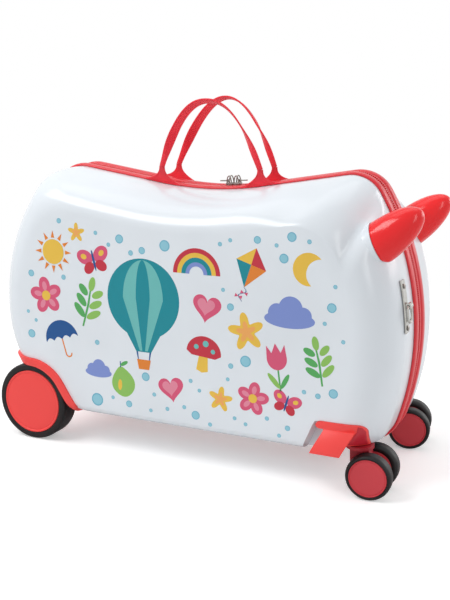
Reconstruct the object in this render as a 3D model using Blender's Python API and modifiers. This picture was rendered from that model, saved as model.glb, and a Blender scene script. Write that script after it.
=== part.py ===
"""Ride-on cabin case for a child, as an assembly of separate pieces.

Frame: +X is the front of the case, where the horns and the swivel casters are, +Y is the
rider's left, +Z is up. The origin is on the floor under the middle of the case. The case
splits on the plane Y = 0 into a right shell (-Y) and a left shell (+Y). Sizes are in metres.
"""

import bmesh
import bpy
from math import atan2, cos, pi, radians, sin, sqrt, tan
from mathutils import Matrix, Vector

RIGHT = -1
LEFT = 1
SIDES = (RIGHT, LEFT)
SIDE_NAME = {RIGHT: "right", LEFT: "left"}

# Running and seating clearances
SEAT_GAP = 0.0003
RUNNING_GAP = 0.0004
BORE_GAP = 0.0001

# Outline of the rim, seen from the side
SADDLE_X = -0.0024
SADDLE_Z = 0.3025
SADDLE_RADIUS = 0.400
FRONT_RISE = radians(9.5)
REAR_RISE = radians(8.5)
FRONT_BULGE_X = -0.0624
FRONT_BULGE_Z = 0.155
FRONT_BULGE_RADIUS = 0.300
REAR_BULGE_X = -0.0199
REAR_BULGE_Z = 0.163
REAR_BULGE_RADIUS = 0.230
BOTTOM_Z = 0.036
FRONT_X = FRONT_BULGE_X + FRONT_BULGE_RADIUS
FRONT_HUMP_RADIUS = 0.036
FRONT_FOOT_RADIUS = 0.038
REAR_FOOT_RADIUS = 0.124
REAR_HUMP_RADIUS = 0.036

# How far the flat outer face lies inside the rim outline
FACE_INSET_TOP = 0.040
FACE_INSET_FRONT = 0.044
FACE_INSET_REAR = 0.042
FACE_INSET_BOTTOM = 0.017
FACE_FRONT_HUMP_RADIUS = 0.050
FACE_FRONT_FOOT_RADIUS = 0.055
FACE_REAR_FOOT_RADIUS = 0.090
FACE_REAR_HUMP_RADIUS = 0.055

# Depth of each half; the top starts to curve down sooner than the other walls
HALF_WIDTH = 0.100
STRAIGHT_WALL_Y = 0.048
STRAIGHT_TOP_Y = 0.0215
HUMP_POWER = 1.35
BEVEL_FADE = 1 / 6
SHELL_EDGE_Y = 0.0078
SHELL_WALL = 0.0022
LINING_THICKNESS = 0.0012
LINING_GAP = 0.0022

# Red band round the split
BEAD_INNER_Y = 0.0078
BEAD_OUTER_Y = 0.0195
BEAD_PROUD = 0.0034
ZIP_COIL_Y = 0.0028
ZIP_TAPE_PROUD = 0.0014
ZIP_COIL_PROUD = 0.0026
SPLIT_GAP = 0.0004

# Rear wheels
REAR_WHEEL_X = -0.2011
REAR_WHEEL_RADIUS = 0.0465
REAR_WHEEL_WIDTH = 0.028
REAR_WHEEL_FACE_Y = 0.0985
REAR_HUB_RADIUS = 0.0383
REAR_HUB_BARREL_RADIUS = 0.0335
REAR_AXLE_RADIUS = 0.004
REAR_ARCH_CLEARANCE = 0.0028
REAR_WELL_WALL = 0.0040
ARCH_PROUD = 0.0028
ARCH_LIP_DEPTH = 0.0005
ARCH_LIP_WIDTH = 0.0093
ARCH_TOP_Z = 0.1022
ARCH_TURN_X = -0.1944
ARCH_RADIUS = 0.0537
ARCH_SLOPE = radians(57.0)
ARCH_TOE_Z = 0.0520
ARCH_TOE_LEAN = radians(33.0)

# Front twin casters
CASTER_PIVOT_X = FRONT_X - 0.0373
CASTER_PIVOT_Y = 0.0776
CASTER_TRAIL = 0.0145
CASTER_WHEEL_RADIUS = 0.0243
CASTER_WHEEL_WIDTH = 0.0160
CASTER_WIDTH = 0.0490
CASTER_HUB_RADIUS = 0.0201
CASTER_HUB_BARREL_RADIUS = 0.0165
CASTER_STEER = {RIGHT: radians(2.5), LEFT: radians(9.8)}
CASTER_AXLE_RADIUS = 0.003
KING_PIN_RADIUS = 0.004
FORK_LEG_WIDTH = 0.0128
FORK_LEG_LENGTH = 0.0170
FORK_BOSS_RADIUS = 0.0085
FORK_CAP_RADIUS = 0.0150
FORK_CAP_THICKNESS = 0.0034
CASTER_SWEEP_CLEARANCE = 0.0022

# Front wheel housing: its flange's top edge sweeps up round the case's corner
HOUSING_PROUD = 0.0016
HOUSING_INNER_Y = 0.0680
HOUSING_REAR_X = FRONT_X - 0.0705
FLANGE_LOW_Z = 0.0706
FLANGE_EDGE = tuple((FRONT_X - back, z) for back, z in (
    (0.0748, 0.0706), (0.0778, 0.0718), (0.0790, 0.0744), (0.0776, 0.0774), (0.0730, 0.0790),
    (0.0505, 0.0790), (0.0378, 0.0782), (0.0316, 0.0771), (0.0279, 0.0746), (0.0264, 0.0706),
))
RECESS_REAR_X = FRONT_X - 0.0980
RECESS_LEAN = 0.42

# The sloping guard under the flange
GUARD_REAR_X = FRONT_X - 0.0694
GUARD_FRONT_X = FRONT_X - 0.0370
GUARD_ROOT_Y = 0.1018
GUARD_LIP_Y = 0.1135
GUARD_LIP_Z = 0.0523
GUARD_LIP_HEIGHT = 0.0053
GUARD_THICKNESS = 0.0028
GUARD_DEPTH = 0.0160
GUARD_RAKE = 0.49

# Horns
HORN_X = FRONT_X - 0.0287
HORN_Y = 0.0620
HORN_Z = 0.2612
HORN_RADIUS = 0.0217
HORN_LENGTH = 0.0548
HORN_SKIRT = 0.0185
HORN_RISE = radians(39.5)
HORN_SPLAY = radians(2.0)
HORN_SCREW_RADIUS = 0.0030

# Tow fitting on the front wall
FITTING_Y = -0.0512
FITTING_WIDTH = 0.0120
FITTING_TOP_Z = 0.2235
FITTING_BOTTOM_Z = 0.1690
FITTING_THICKNESS = 0.0015
BARREL_Z = 0.1975
BARREL_RADIUS = 0.0034
BARREL_LENGTH = 0.0085
RING_WIRE_RADIUS = 0.0014
RING_WIDTH = 0.0150
RING_DROP = 0.0172
RIVET_RADIUS = 0.0028
RIVET_SHANK_RADIUS = 0.00155
RIVET_HEAD = 0.0012
RIVET_HEIGHTS = {"upper": 0.2170, "lower": 0.1740}

# Carry handles
HANDLE_X = 0.0001
HANDLE_SPAN = 0.1220
HANDLE_RISE = {RIGHT: 0.0715, LEFT: 0.0775}
HANDLE_SHAPE = {RIGHT: 2.4, LEFT: 2.0}
HANDLE_LEAN = radians(3.5)
HANDLE_ROLL = {RIGHT: radians(27.0), LEFT: radians(15.0)}
STRAP_WIDTH = 0.0130
STRAP_NECK_WIDTH = 0.0060
STRAP_THICKNESS = 0.0024
TAB_HEIGHT = 0.0140
TAB_FOOT_WIDTH = 0.0500

# Zip sliders
SLIDER_X = 0.0206
SLIDER_LENGTH = 0.0085
SLIDER_WIDTH = 0.0080
SLIDER_THICKNESS = 0.0030
SLIDER_SPACING = 0.0090
ARCH_WIRE_RADIUS = 0.0007
ARCH_HEIGHT = 0.0085
ARCH_HALF_LENGTH = 0.0028
ARCH_Y = 0.0033
EYE_HEIGHT = 0.0050
KNUCKLE_RADIUS = 0.0016
PULL_LENGTH = 0.0098
PULL_WIDTH = 0.0048
PULL_THICKNESS = 0.0012

# How finely the round stretches are cut, as segments along each stretch of the outline
OUTLINE_SEGMENTS = {
    "saddle": 8, "front_ramp": 2, "front_hump": 7, "front_bulge": 12, "front_foot": 5,
    "bottom": 3, "rear_foot": 7, "rear_bulge": 6, "rear_hump": 5, "rear_ramp": 4,
}
SHOULDER_STEPS = (20, 45, 70, 90)

# Angle from which a bent four-sided face is split in two
FLATNESS = radians(0.05)

MODEL = "ride_on_case"
CUTTERS = "cutters"


# Scene and materials

def clear_scene():
    for thing in list(bpy.data.objects):
        bpy.data.objects.remove(thing, do_unlink=True)


def new_collection(name):
    collection = bpy.data.collections.new(name)
    bpy.context.scene.collection.children.link(collection)
    return collection


def make_material(name, colour, roughness, metallic=0.0):
    material = bpy.data.materials.new(name)
    material.use_nodes = True
    shader = material.node_tree.nodes["Principled BSDF"]
    shader.inputs["Base Color"].default_value = (*colour, 1.0)
    shader.inputs["Roughness"].default_value = roughness
    shader.inputs["Metallic"].default_value = metallic
    material.diffuse_color = (*colour, 1.0)
    return material


def make_materials():
    return {
        "shell_white": make_material("shell_white", (0.82, 0.86, 0.90), 0.15),
        "trim_red": make_material("trim_red", (0.72, 0.06, 0.08), 0.35),
        "zip_red": make_material("zip_red", (0.66, 0.05, 0.07), 0.80),
        "webbing_red": make_material("webbing_red", (0.58, 0.04, 0.08), 0.85),
        "horn_red": make_material("horn_red", (0.80, 0.03, 0.04), 0.18),
        "wheel_red": make_material("wheel_red", (0.85, 0.11, 0.10), 0.40),
        "tyre_black": make_material("tyre_black", (0.02, 0.02, 0.02), 0.60),
        "chrome": make_material("chrome", (0.80, 0.80, 0.80), 0.12, 1.0),
        "steel": make_material("steel", (0.55, 0.55, 0.56), 0.35, 1.0),
        "lining_grey": make_material("lining_grey", (0.35, 0.37, 0.40), 0.90),
    }


# Helpers that turn shapes into objects

def link(thing, collection, material=None):
    for owner in list(thing.users_collection):
        owner.objects.unlink(thing)
    bpy.data.collections[collection].objects.link(thing)
    if material is not None:
        thing.data.materials.clear()
        thing.data.materials.append(MATERIALS[material])
    if collection == CUTTERS:
        thing.hide_render = True
        thing.display_type = "WIRE"
    return thing


def from_bmesh(name, shape, collection, material=None, smooth=True):
    bmesh.ops.recalc_face_normals(shape, faces=shape.faces)
    mesh = bpy.data.meshes.new(name)
    shape.to_mesh(mesh)
    shape.free()
    if smooth:
        mesh.shade_smooth()
        mesh.set_sharp_from_angle(angle=radians(35))
    return link(bpy.data.objects.new(name, mesh), collection, material)


def as_mesh(thing, name, collection, material):
    """Replace an object that has modifiers, or a curve, by its plain evaluated mesh."""
    graph = bpy.context.evaluated_depsgraph_get()
    graph.update()
    mesh = bpy.data.meshes.new_from_object(thing.evaluated_get(graph))
    shape = bmesh.new()
    shape.from_mesh(mesh)
    bmesh.ops.remove_doubles(shape, verts=shape.verts, dist=1e-6)
    bmesh.ops.dissolve_degenerate(shape, edges=shape.edges, dist=1e-6)
    place = thing.matrix_world.copy()
    bpy.data.objects.remove(thing, do_unlink=True)
    bpy.data.meshes.remove(mesh)
    plain = from_bmesh(name, shape, collection, material)
    plain.matrix_world = place
    return plain


def combine(thing, other, operation):
    """Boolean of two objects with the EXACT solver; the other object is used up."""
    modifier = thing.modifiers.new("combine", "BOOLEAN")
    modifier.operation = operation
    modifier.solver = "EXACT"
    modifier.object = other
    name = thing.name
    collection = thing.users_collection[0].name
    material = thing.data.materials[0].name if thing.data.materials else None
    result = as_mesh(thing, name, collection, material)
    result.name = name
    bpy.data.objects.remove(other, do_unlink=True)
    return result


def prism(name, outline, y_from, y_to, collection, material=None):
    """Extrude an outline of (x, z) points along Y."""
    shape = bmesh.new()
    first = [shape.verts.new((x, y_from, z)) for x, z in outline]
    shape.faces.new(first)
    swept = bmesh.ops.extrude_face_region(shape, geom=shape.faces[:])
    moved = [item for item in swept["geom"] if isinstance(item, bmesh.types.BMVert)]
    bmesh.ops.translate(shape, verts=moved, vec=(0.0, y_to - y_from, 0.0))
    return from_bmesh(name, shape, collection, material)


def loft(name, rings, collection, material=None, closed=False):
    """Closed body through rings that all have the same number of points."""
    shape = bmesh.new()
    made = [[shape.verts.new(place) for place in ring] for ring in rings]
    pairs = list(zip(made, made[1:]))
    if closed:
        pairs.append((made[-1], made[0]))
    for low, high in pairs:
        for index in range(len(low)):
            after = (index + 1) % len(low)
            shape.faces.new((low[index], low[after], high[after], high[index]))
    bmesh.ops.connect_verts_nonplanar(shape, angle_limit=FLATNESS, faces=shape.faces[:])
    if not closed:
        shape.faces.new(made[0])
        shape.faces.new(made[-1])
    return from_bmesh(name, shape, collection, material)


def rods(name, ends, collection, material=None, segments=20):
    """Solid rods in one mesh, each given by its radius and its two end points."""
    shape = bmesh.new()
    for radius, start, end in ends:
        axis = Vector(end) - Vector(start)
        middle = Matrix.Translation((Vector(start) + Vector(end)) / 2)
        bmesh.ops.create_cone(
            shape, cap_ends=True, segments=segments, radius1=radius, radius2=radius,
            depth=axis.length, matrix=middle @ axis.to_track_quat("Z", "Y").to_matrix().to_4x4())
    return from_bmesh(name, shape, collection, material)


def cylinder(name, radius, start, end, collection, material=None, segments=20):
    return rods(name, [(radius, start, end)], collection, material, segments)


def turned(name, profile, material, steps, place, direction, closed=False):
    """Turn a profile of (radius, height) points, top to bottom, about its height axis.

    The axis passes through the place and the profile's height grows along the direction."""
    mesh = bpy.data.meshes.new(name)
    edges = [(index, index + 1) for index in range(len(profile) - 1)]
    if closed:
        edges.append((len(profile) - 1, 0))
    mesh.from_pydata([(radius, 0.0, height) for radius, height in profile], edges, [])
    piece = link(bpy.data.objects.new(name, mesh), MODEL, material)
    screw = piece.modifiers.new("turn", "SCREW")
    screw.axis = "Z"
    screw.steps = steps
    screw.render_steps = steps
    screw.use_merge_vertices = not closed
    screw.merge_threshold = 1e-5
    screw.use_smooth_shade = True
    piece.location = place
    piece.rotation_euler = Vector(direction).to_track_quat("Z", "Y").to_euler()
    bpy.context.view_layer.update()
    return as_mesh(piece, name, MODEL, material)


def wire(name, points, radius, material, cyclic=False, resolution=2):
    """Round wire along the points."""
    curve = bpy.data.curves.new(name, "CURVE")
    curve.dimensions = "3D"
    curve.bevel_depth = radius
    curve.bevel_resolution = resolution
    curve.use_fill_caps = True
    curve.render_resolution_u = 0
    spline = curve.splines.new("POLY")
    spline.points.add(len(points) - 1)
    for point, place in zip(spline.points, points):
        point.co = (*place, 1.0)
    spline.use_cyclic_u = cyclic
    thing = link(bpy.data.objects.new(name, curve), MODEL)
    bpy.context.view_layer.update()
    return as_mesh(thing, name, MODEL, material)


def set_origin(piece, origin):
    """Move a piece's origin to a point on its joint's axis without moving its surface."""
    origin = Vector(origin)
    world = piece.matrix_world.copy()
    piece.data.transform(Matrix.Translation(-origin) @ world)
    piece.matrix_world = Matrix.Translation(origin)


# The outline of the case, seen from the side

def arc_points(centre, radius, start, end, count, inward=False):
    """Points from start towards end (end left out), each with its outward normal."""
    points = []
    for index in range(count):
        angle = start + (end - start) * index / count
        away = Vector((cos(angle), sin(angle)))
        points.append((centre + away * radius, -away if inward else away))
    return points


def line_points(start, end, normal, count):
    return [(start.lerp(end, index / count), normal) for index in range(count)]


def fillet_centre(point, direction, inward, radius, bulge, bulge_radius):
    """Centre of the fillet that touches a line and the inside of a bulge circle."""
    start = point + inward * radius - bulge
    reach = bulge_radius - radius
    along = start.dot(direction)
    return bulge + start + direction * (sqrt(along ** 2 - start.length_squared + reach ** 2) - along)


def turn_angle(centre, start_angle, point):
    """Angle of a point seen from a centre, unwound to lie clockwise of the start angle."""
    away = point - centre
    angle = atan2(away.y, away.x)
    while angle > start_angle:
        angle -= 2 * pi
    return angle


def case_outline(top, front, rear, bottom, front_hump, front_foot, rear_foot, rear_hump):
    """Closed outline, clockwise from the rear end of the saddle, as points with normals."""
    saddle = Vector((SADDLE_X, SADDLE_Z + SADDLE_RADIUS))
    saddle_radius = SADDLE_RADIUS + top
    front_line = Vector((cos(FRONT_RISE), sin(FRONT_RISE)))
    front_up = Vector((-sin(FRONT_RISE), cos(FRONT_RISE)))
    rear_line = Vector((-cos(REAR_RISE), sin(REAR_RISE)))
    rear_up = Vector((sin(REAR_RISE), cos(REAR_RISE)))
    bottom_line = Vector((1.0, 0.0))
    bottom_up = Vector((0.0, 1.0))
    saddle_front = saddle - front_up * saddle_radius
    saddle_rear = saddle - rear_up * saddle_radius
    bottom_middle = Vector((0.0, BOTTOM_Z + bottom))
    bulge_f = Vector((FRONT_BULGE_X, FRONT_BULGE_Z))
    bulge_r = Vector((REAR_BULGE_X, REAR_BULGE_Z))
    radius_f = FRONT_BULGE_RADIUS - front
    radius_r = REAR_BULGE_RADIUS - rear

    hump_f = fillet_centre(saddle_front, front_line, -front_up, front_hump, bulge_f, radius_f)
    foot_f = fillet_centre(bottom_middle, bottom_line, bottom_up, front_foot, bulge_f, radius_f)
    foot_r = fillet_centre(bottom_middle, -bottom_line, bottom_up, rear_foot, bulge_r, radius_r)
    hump_r = fillet_centre(saddle_rear, rear_line, -rear_up, rear_hump, bulge_r, radius_r)

    up_f = pi / 2 + FRONT_RISE
    front_top = turn_angle(bulge_f, up_f, hump_f)
    front_low = turn_angle(bulge_f, front_top, foot_f)
    down = -pi / 2
    rear_low = turn_angle(bulge_r, down, foot_r)
    rear_top = turn_angle(bulge_r, rear_low, hump_r)
    up_r = pi / 2 - REAR_RISE - 2 * pi

    count = OUTLINE_SEGMENTS
    points = arc_points(
        saddle, saddle_radius, -pi / 2 - REAR_RISE, -pi / 2 + FRONT_RISE, count["saddle"], True)
    points += line_points(saddle_front, hump_f + front_up * front_hump, front_up, count["front_ramp"])
    points += arc_points(hump_f, front_hump, up_f, front_top, count["front_hump"])
    points += arc_points(bulge_f, radius_f, front_top, front_low, count["front_bulge"])
    points += arc_points(foot_f, front_foot, front_low, down, count["front_foot"])
    points += line_points(
        foot_f - bottom_up * front_foot, foot_r - bottom_up * rear_foot, -bottom_up, count["bottom"])
    points += arc_points(foot_r, rear_foot, down, rear_low, count["rear_foot"])
    points += arc_points(bulge_r, radius_r, rear_low, rear_top, count["rear_bulge"])
    points += arc_points(hump_r, rear_hump, rear_top, up_r, count["rear_hump"])
    points += line_points(hump_r + rear_up * rear_hump, saddle_rear, rear_up, count["rear_ramp"])
    return points


def rim_outline():
    return case_outline(
        0.0, 0.0, 0.0, 0.0,
        FRONT_HUMP_RADIUS, FRONT_FOOT_RADIUS, REAR_FOOT_RADIUS, REAR_HUMP_RADIUS)


def face_outline():
    return case_outline(
        FACE_INSET_TOP, FACE_INSET_FRONT, FACE_INSET_REAR, FACE_INSET_BOTTOM,
        FACE_FRONT_HUMP_RADIUS, FACE_FRONT_FOOT_RADIUS, FACE_REAR_FOOT_RADIUS,
        FACE_REAR_HUMP_RADIUS)


def grown(outline, amount):
    """The outline's points moved along their normals."""
    return [point + normal * amount for point, normal in outline]


def section_start(name):
    """Index of the outline's first point on a named stretch."""
    names = list(OUTLINE_SEGMENTS)
    return sum(OUTLINE_SEGMENTS[earlier] for earlier in names[:names.index(name)])


def wall_shape():
    """Depth to which the wall stays straight, and power of its shoulder's curve, at each point.

    Power 2 is an elliptic shoulder and power 1 a flat bevel."""
    shapes = []
    for name, count in OUTLINE_SEGMENTS.items():
        for index in range(count):
            along = index / count
            share = 1.0
            bevel = 0.0
            if name in ("saddle", "rear_ramp"):
                share = 0.0
            elif name == "front_ramp":
                share = 0.0
                bevel = along
            elif name == "front_hump":
                share = 0.0
                bevel = 1.0
            elif name == "front_bulge":
                share = min(1.0, along / BEVEL_FADE)
                bevel = 1.0 - share
            elif name == "rear_hump":
                share = 1.0 - along
            depth = STRAIGHT_TOP_Y + (STRAIGHT_WALL_Y - STRAIGHT_TOP_Y) * share
            shapes.append((depth, 2.0 + (HUMP_POWER - 2.0) * bevel))
    return shapes


def offset(outline, amount):
    """A closed outline of (x, z) points moved outwards by a distance, square to its edges."""
    points = [Vector(point) for point in outline]
    following = points[1:] + points[:1]
    area = sum(here.x * after.y - after.x * here.y for here, after in zip(points, following))
    turn = 1.0 if area > 0 else -1.0
    normals = []
    for here, after in zip(points, following):
        along = (after - here).normalized()
        normals.append(Vector((along.y, -along.x)) * turn)
    moved = []
    for index, point in enumerate(points):
        before, after = normals[index - 1], normals[index]
        place = point + (before + after) * amount / (1.0 + before.dot(after))
        moved.append((place.x, place.y))
    return moved


def front_wall_x(z, grow=0.0):
    """X of the front bulge at a height."""
    return FRONT_BULGE_X + sqrt((FRONT_BULGE_RADIUS + grow) ** 2 - (z - FRONT_BULGE_Z) ** 2)


def saddle_top(x, grow=0.0):
    """Height of the saddle's arc at a place along it."""
    radius = SADDLE_RADIUS - grow
    return SADDLE_Z + SADDLE_RADIUS - sqrt(radius ** 2 - (x - SADDLE_X) ** 2)


# Shells and linings

def half_form(name, side, grow, open_y):
    """Solid with the outer shape of one half, grown by a distance, open side at open_y."""
    rim = grown(rim_outline(), grow)
    face = grown(face_outline(), grow)
    shapes = wall_shape()
    rings = [
        [(point, open_y) for point in rim],
        [(point, straight) for point, (straight, _) in zip(rim, shapes)]]
    for step in SHOULDER_STEPS:
        ring = []
        for outer, inner, (straight, power) in zip(rim, face, shapes):
            inset = 1 - cos(radians(step)) ** (2 / power)
            reach = sin(radians(step)) ** (2 / power)
            depth = straight + (HALF_WIDTH + grow - straight) * reach
            ring.append((outer.lerp(inner, inset), depth))
        rings.append(ring)
    return loft(name, [[(point.x, side * y, point.y) for point, y in ring] for ring in rings], CUTTERS)


def caster_reach():
    """Radius that the swivelling caster sweeps about its king pin."""
    return sqrt((CASTER_TRAIL + CASTER_WHEEL_RADIUS) ** 2 + (CASTER_WIDTH / 2) ** 2)


def caster_ceiling():
    """Height of the underside of the front wheel housing."""
    return 2 * CASTER_WHEEL_RADIUS + RUNNING_GAP + FORK_CAP_THICKNESS + RUNNING_GAP


def housing_outline():
    """Side view of the front wheel housing."""
    floor = caster_ceiling()
    outline = [(HOUSING_REAR_X, floor), (HOUSING_REAR_X, FLANGE_LOW_Z)]
    outline += FLANGE_EDGE
    outline.append((FLANGE_EDGE[-1][0], floor))
    return outline


def recess_outline():
    """Side view of the recess that takes the housing: a leaning rear wall, then the flange's edge."""
    below = -0.010
    corner_z = 0.0738
    outline = []
    for z in (below, corner_z):
        outline.append((RECESS_REAR_X + RECESS_LEAN * (z - BOTTOM_Z), z))
    outline.append((FLANGE_EDGE[2][0] - 0.0010, corner_z + 0.0038))
    outline += FLANGE_EDGE[4:]
    outline.append((FLANGE_EDGE[-1][0], below))
    return outline


def cut_recess(form, side, grow):
    """Cut the front caster's recess, grown by a distance, out of a half's form."""
    beyond = 2 * HALF_WIDTH
    inner = HOUSING_INNER_Y - grow
    wedge = prism("wedge", offset(recess_outline(), grow), side * inner, side * beyond, CUTTERS)
    form = combine(form, wedge, "DIFFERENCE")
    sweep = cylinder(
        "sweep", caster_reach() + CASTER_SWEEP_CLEARANCE + grow,
        (CASTER_PIVOT_X, side * CASTER_PIVOT_Y, -0.010),
        (CASTER_PIVOT_X, side * CASTER_PIVOT_Y, caster_ceiling() + grow), CUTTERS, segments=36)
    return combine(form, sweep, "DIFFERENCE")


def crossing(first, first_normal, second, second_normal):
    """Point where two lines meet, each given by a point on it and its normal."""
    reach = Vector((first.dot(first_normal), second.dot(second_normal)))
    spread = first_normal.x * second_normal.y - first_normal.y * second_normal.x
    return Vector((
        (reach.x * second_normal.y - reach.y * first_normal.y) / spread,
        (reach.y * first_normal.x - reach.x * second_normal.x) / spread))


def arch_outline(grow, toe_grow, below=-0.010):
    """Side view of the rear wheel arch, closed well outside the case's corner.

    Its foot turns back towards the wheel along a toe line that has its own growth."""
    steps = 8
    radius = ARCH_RADIUS + grow
    centre = Vector((ARCH_TURN_X, ARCH_TOP_Z - ARCH_RADIUS))
    points = []
    for index in range(steps + 1):
        angle = ARCH_SLOPE * index / steps
        points.append((centre.x + radius * sin(angle), centre.y + radius * cos(angle)))
    slope_normal = Vector((sin(ARCH_SLOPE), cos(ARCH_SLOPE)))
    toe_normal = Vector((cos(ARCH_TOE_LEAN), -sin(ARCH_TOE_LEAN)))
    slope_foot = centre + slope_normal * ARCH_RADIUS
    toe = slope_foot + Vector((1 / tan(ARCH_SLOPE), -1.0)) * (slope_foot.y - ARCH_TOE_Z)
    corner = crossing(centre + slope_normal * radius, slope_normal, toe + toe_normal * toe_grow, toe_normal)
    behind = REAR_BULGE_X - REAR_BULGE_RADIUS - 0.030
    points.append((corner.x, corner.y))
    points.append((corner.x - (corner.y - below) * tan(ARCH_TOE_LEAN), below))
    points.append((behind, below))
    points.append((behind, points[0][1]))
    return points


def cut_arch(form, side, grow, inner_y):
    beyond = 2 * HALF_WIDTH
    return combine(
        form, prism("arch", arch_outline(grow, grow), side * inner_y, side * beyond, CUTTERS), "DIFFERENCE")


def well_inner_y():
    """Distance of the wheel well's inner wall from the middle plane."""
    return REAR_WHEEL_FACE_Y - REAR_WHEEL_WIDTH - REAR_ARCH_CLEARANCE - REAR_WELL_WALL


def through_holes(side):
    """Holes for the horn's screw and, on the right, for the tow fitting's rivets."""
    base = horn_base(side)
    axis = horn_axis(side)
    ends = [(HORN_SCREW_RADIUS + BORE_GAP, base - axis * 0.040, base + axis * 0.030)]
    if side == RIGHT:
        for z in RIVET_HEIGHTS.values():
            surface, outward = rivet_frame(z)
            ends.append((
                RIVET_SHANK_RADIUS + BORE_GAP, surface - outward * 0.020, surface + outward * 0.020))
    return rods("holes", ends, CUTTERS, segments=12)


def make_shell(side):
    name = SIDE_NAME[side] + "_shell"
    outside = cut_recess(half_form("outside", side, 0.0, SHELL_EDGE_Y), side, 0.0)
    inside = cut_recess(half_form("inside", side, -SHELL_WALL, -0.010), side, SHELL_WALL)
    shell = combine(outside, inside, "DIFFERENCE")
    shell = cut_arch(shell, side, 0.0, well_inner_y() - SEAT_GAP)
    shell = combine(shell, through_holes(side), "DIFFERENCE")
    return as_mesh(shell, name, MODEL, "shell_white")


def make_lining(side):
    name = SIDE_NAME[side] + "_lining"
    outer = SHELL_WALL + LINING_GAP
    inner = outer + LINING_THICKNESS
    edge = SHELL_EDGE_Y + LINING_THICKNESS
    outside = cut_recess(half_form("outside", side, -outer, edge), side, outer)
    outside = cut_arch(outside, side, outer, well_inner_y() - outer)
    inside = cut_recess(half_form("inside", side, -inner, -0.010), side, inner)
    inside = cut_arch(inside, side, inner, well_inner_y() - inner)
    lining = combine(outside, inside, "DIFFERENCE")
    lining = combine(lining, through_holes(side), "DIFFERENCE")
    return as_mesh(lining, name, MODEL, "lining_grey")


# The red band

def band(name, side, section, material, first=0, last=None):
    """Sweep a cross-section of (y, height over the shell) along a stretch of the rim."""
    rim = rim_outline()
    closed = last is None
    count = len(rim) if closed else (last - first) % len(rim) + 1
    rings = []
    for step in range(count):
        point, normal = rim[(first + step) % len(rim)]
        places = [(point + normal * height, y) for y, height in section]
        rings.append([(place.x, side * y, place.y) for place, y in places])
    return loft(name, rings, MODEL, material, closed)


def bead_section():
    width = BEAD_OUTER_Y - BEAD_INNER_Y
    return [
        (BEAD_INNER_Y, SEAT_GAP),
        (BEAD_INNER_Y, 0.55 * BEAD_PROUD),
        (BEAD_INNER_Y + 0.25 * width, BEAD_PROUD),
        (BEAD_OUTER_Y - 0.30 * width, BEAD_PROUD),
        (BEAD_OUTER_Y, 0.50 * BEAD_PROUD),
        (BEAD_OUTER_Y, SEAT_GAP),
    ]


def tape_outer_y():
    return BEAD_INNER_Y - SEAT_GAP


def make_band(side):
    name = SIDE_NAME[side]
    band(name + "_rim_bead", side, bead_section(), "trim_red")
    hinge_front = section_start("bottom")
    hinge_rear = section_start("rear_foot")
    coil = [
        (SPLIT_GAP, 0.0), (SPLIT_GAP, ZIP_COIL_PROUD), (ZIP_COIL_Y, ZIP_COIL_PROUD),
        (ZIP_COIL_Y, ZIP_TAPE_PROUD), (tape_outer_y(), ZIP_TAPE_PROUD), (tape_outer_y(), 0.0),
    ]
    band(name + "_zip_half", side, coil, "zip_red", hinge_rear + 1, hinge_front - 1)
    tape = [
        (SPLIT_GAP, 0.0), (SPLIT_GAP, ZIP_COIL_PROUD),
        (tape_outer_y(), ZIP_COIL_PROUD), (tape_outer_y(), 0.0),
    ]
    band(name + "_hinge_leaf", side, tape, "zip_red", hinge_front, hinge_rear)


# Rear wheels

def make_rear_housing(side):
    """Wheel well: an inner wall, a roof that follows the arch, and a lip over the tyre."""
    name = SIDE_NAME[side] + "_rear_housing"
    inner = well_inner_y()
    beyond = 2 * HALF_WIDTH
    blank = prism(
        "blank", arch_outline(-SEAT_GAP, -SEAT_GAP, BOTTOM_Z), side * inner, side * beyond, CUTTERS)
    blank = combine(blank, half_form("limit", side, ARCH_PROUD, 0.0), "INTERSECT")
    inside = inner + REAR_WELL_WALL
    deeper = inside - SEAT_GAP
    toe_lip = -REAR_WELL_WALL - ARCH_LIP_DEPTH
    mouth = prism(
        "mouth", arch_outline(-ARCH_LIP_WIDTH, toe_lip), side * deeper, side * beyond, CUTTERS)
    blank = combine(blank, mouth, "DIFFERENCE")
    cavity = prism(
        "cavity", arch_outline(-REAR_WELL_WALL, -REAR_WELL_WALL), side * inside, side * beyond, CUTTERS)
    cavity = combine(cavity, half_form("depth", side, -ARCH_LIP_DEPTH, 0.0), "INTERSECT")
    blank = combine(blank, cavity, "DIFFERENCE")
    bore = cylinder(
        "bore", REAR_AXLE_RADIUS + BORE_GAP,
        (REAR_WHEEL_X, side * (inner - 0.010), REAR_WHEEL_RADIUS),
        (REAR_WHEEL_X, side * beyond, REAR_WHEEL_RADIUS), CUTTERS)
    blank = combine(blank, bore, "DIFFERENCE")
    return as_mesh(blank, name, MODEL, "wheel_red")


def wheel_profiles(radius, width, hub_radius, barrel_radius, axle_radius, disc):
    """Tyre and hub profiles; height 0 is the wheel's outer face, growing outwards."""
    lip = 0.0006
    round_off = 0.13 * width
    tyre = [
        (hub_radius + SEAT_GAP, -lip), (radius - round_off, -lip), (radius, -lip - round_off),
        (radius, -width + round_off), (radius - round_off, -width), (barrel_radius + SEAT_GAP, -width),
        (barrel_radius + SEAT_GAP, -disc - SEAT_GAP), (hub_radius + SEAT_GAP, -disc - SEAT_GAP),
    ]
    bore = axle_radius + BORE_GAP
    hub = [
        (0.0, 0.0), (hub_radius - 0.0015, 0.0), (hub_radius, -0.0012), (hub_radius, -disc),
        (barrel_radius, -disc), (barrel_radius, -width + 0.0005), (bore, -width + 0.0005),
        (bore, -disc - 0.0015), (0.0, -disc - 0.0015),
    ]
    return tyre, hub


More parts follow.
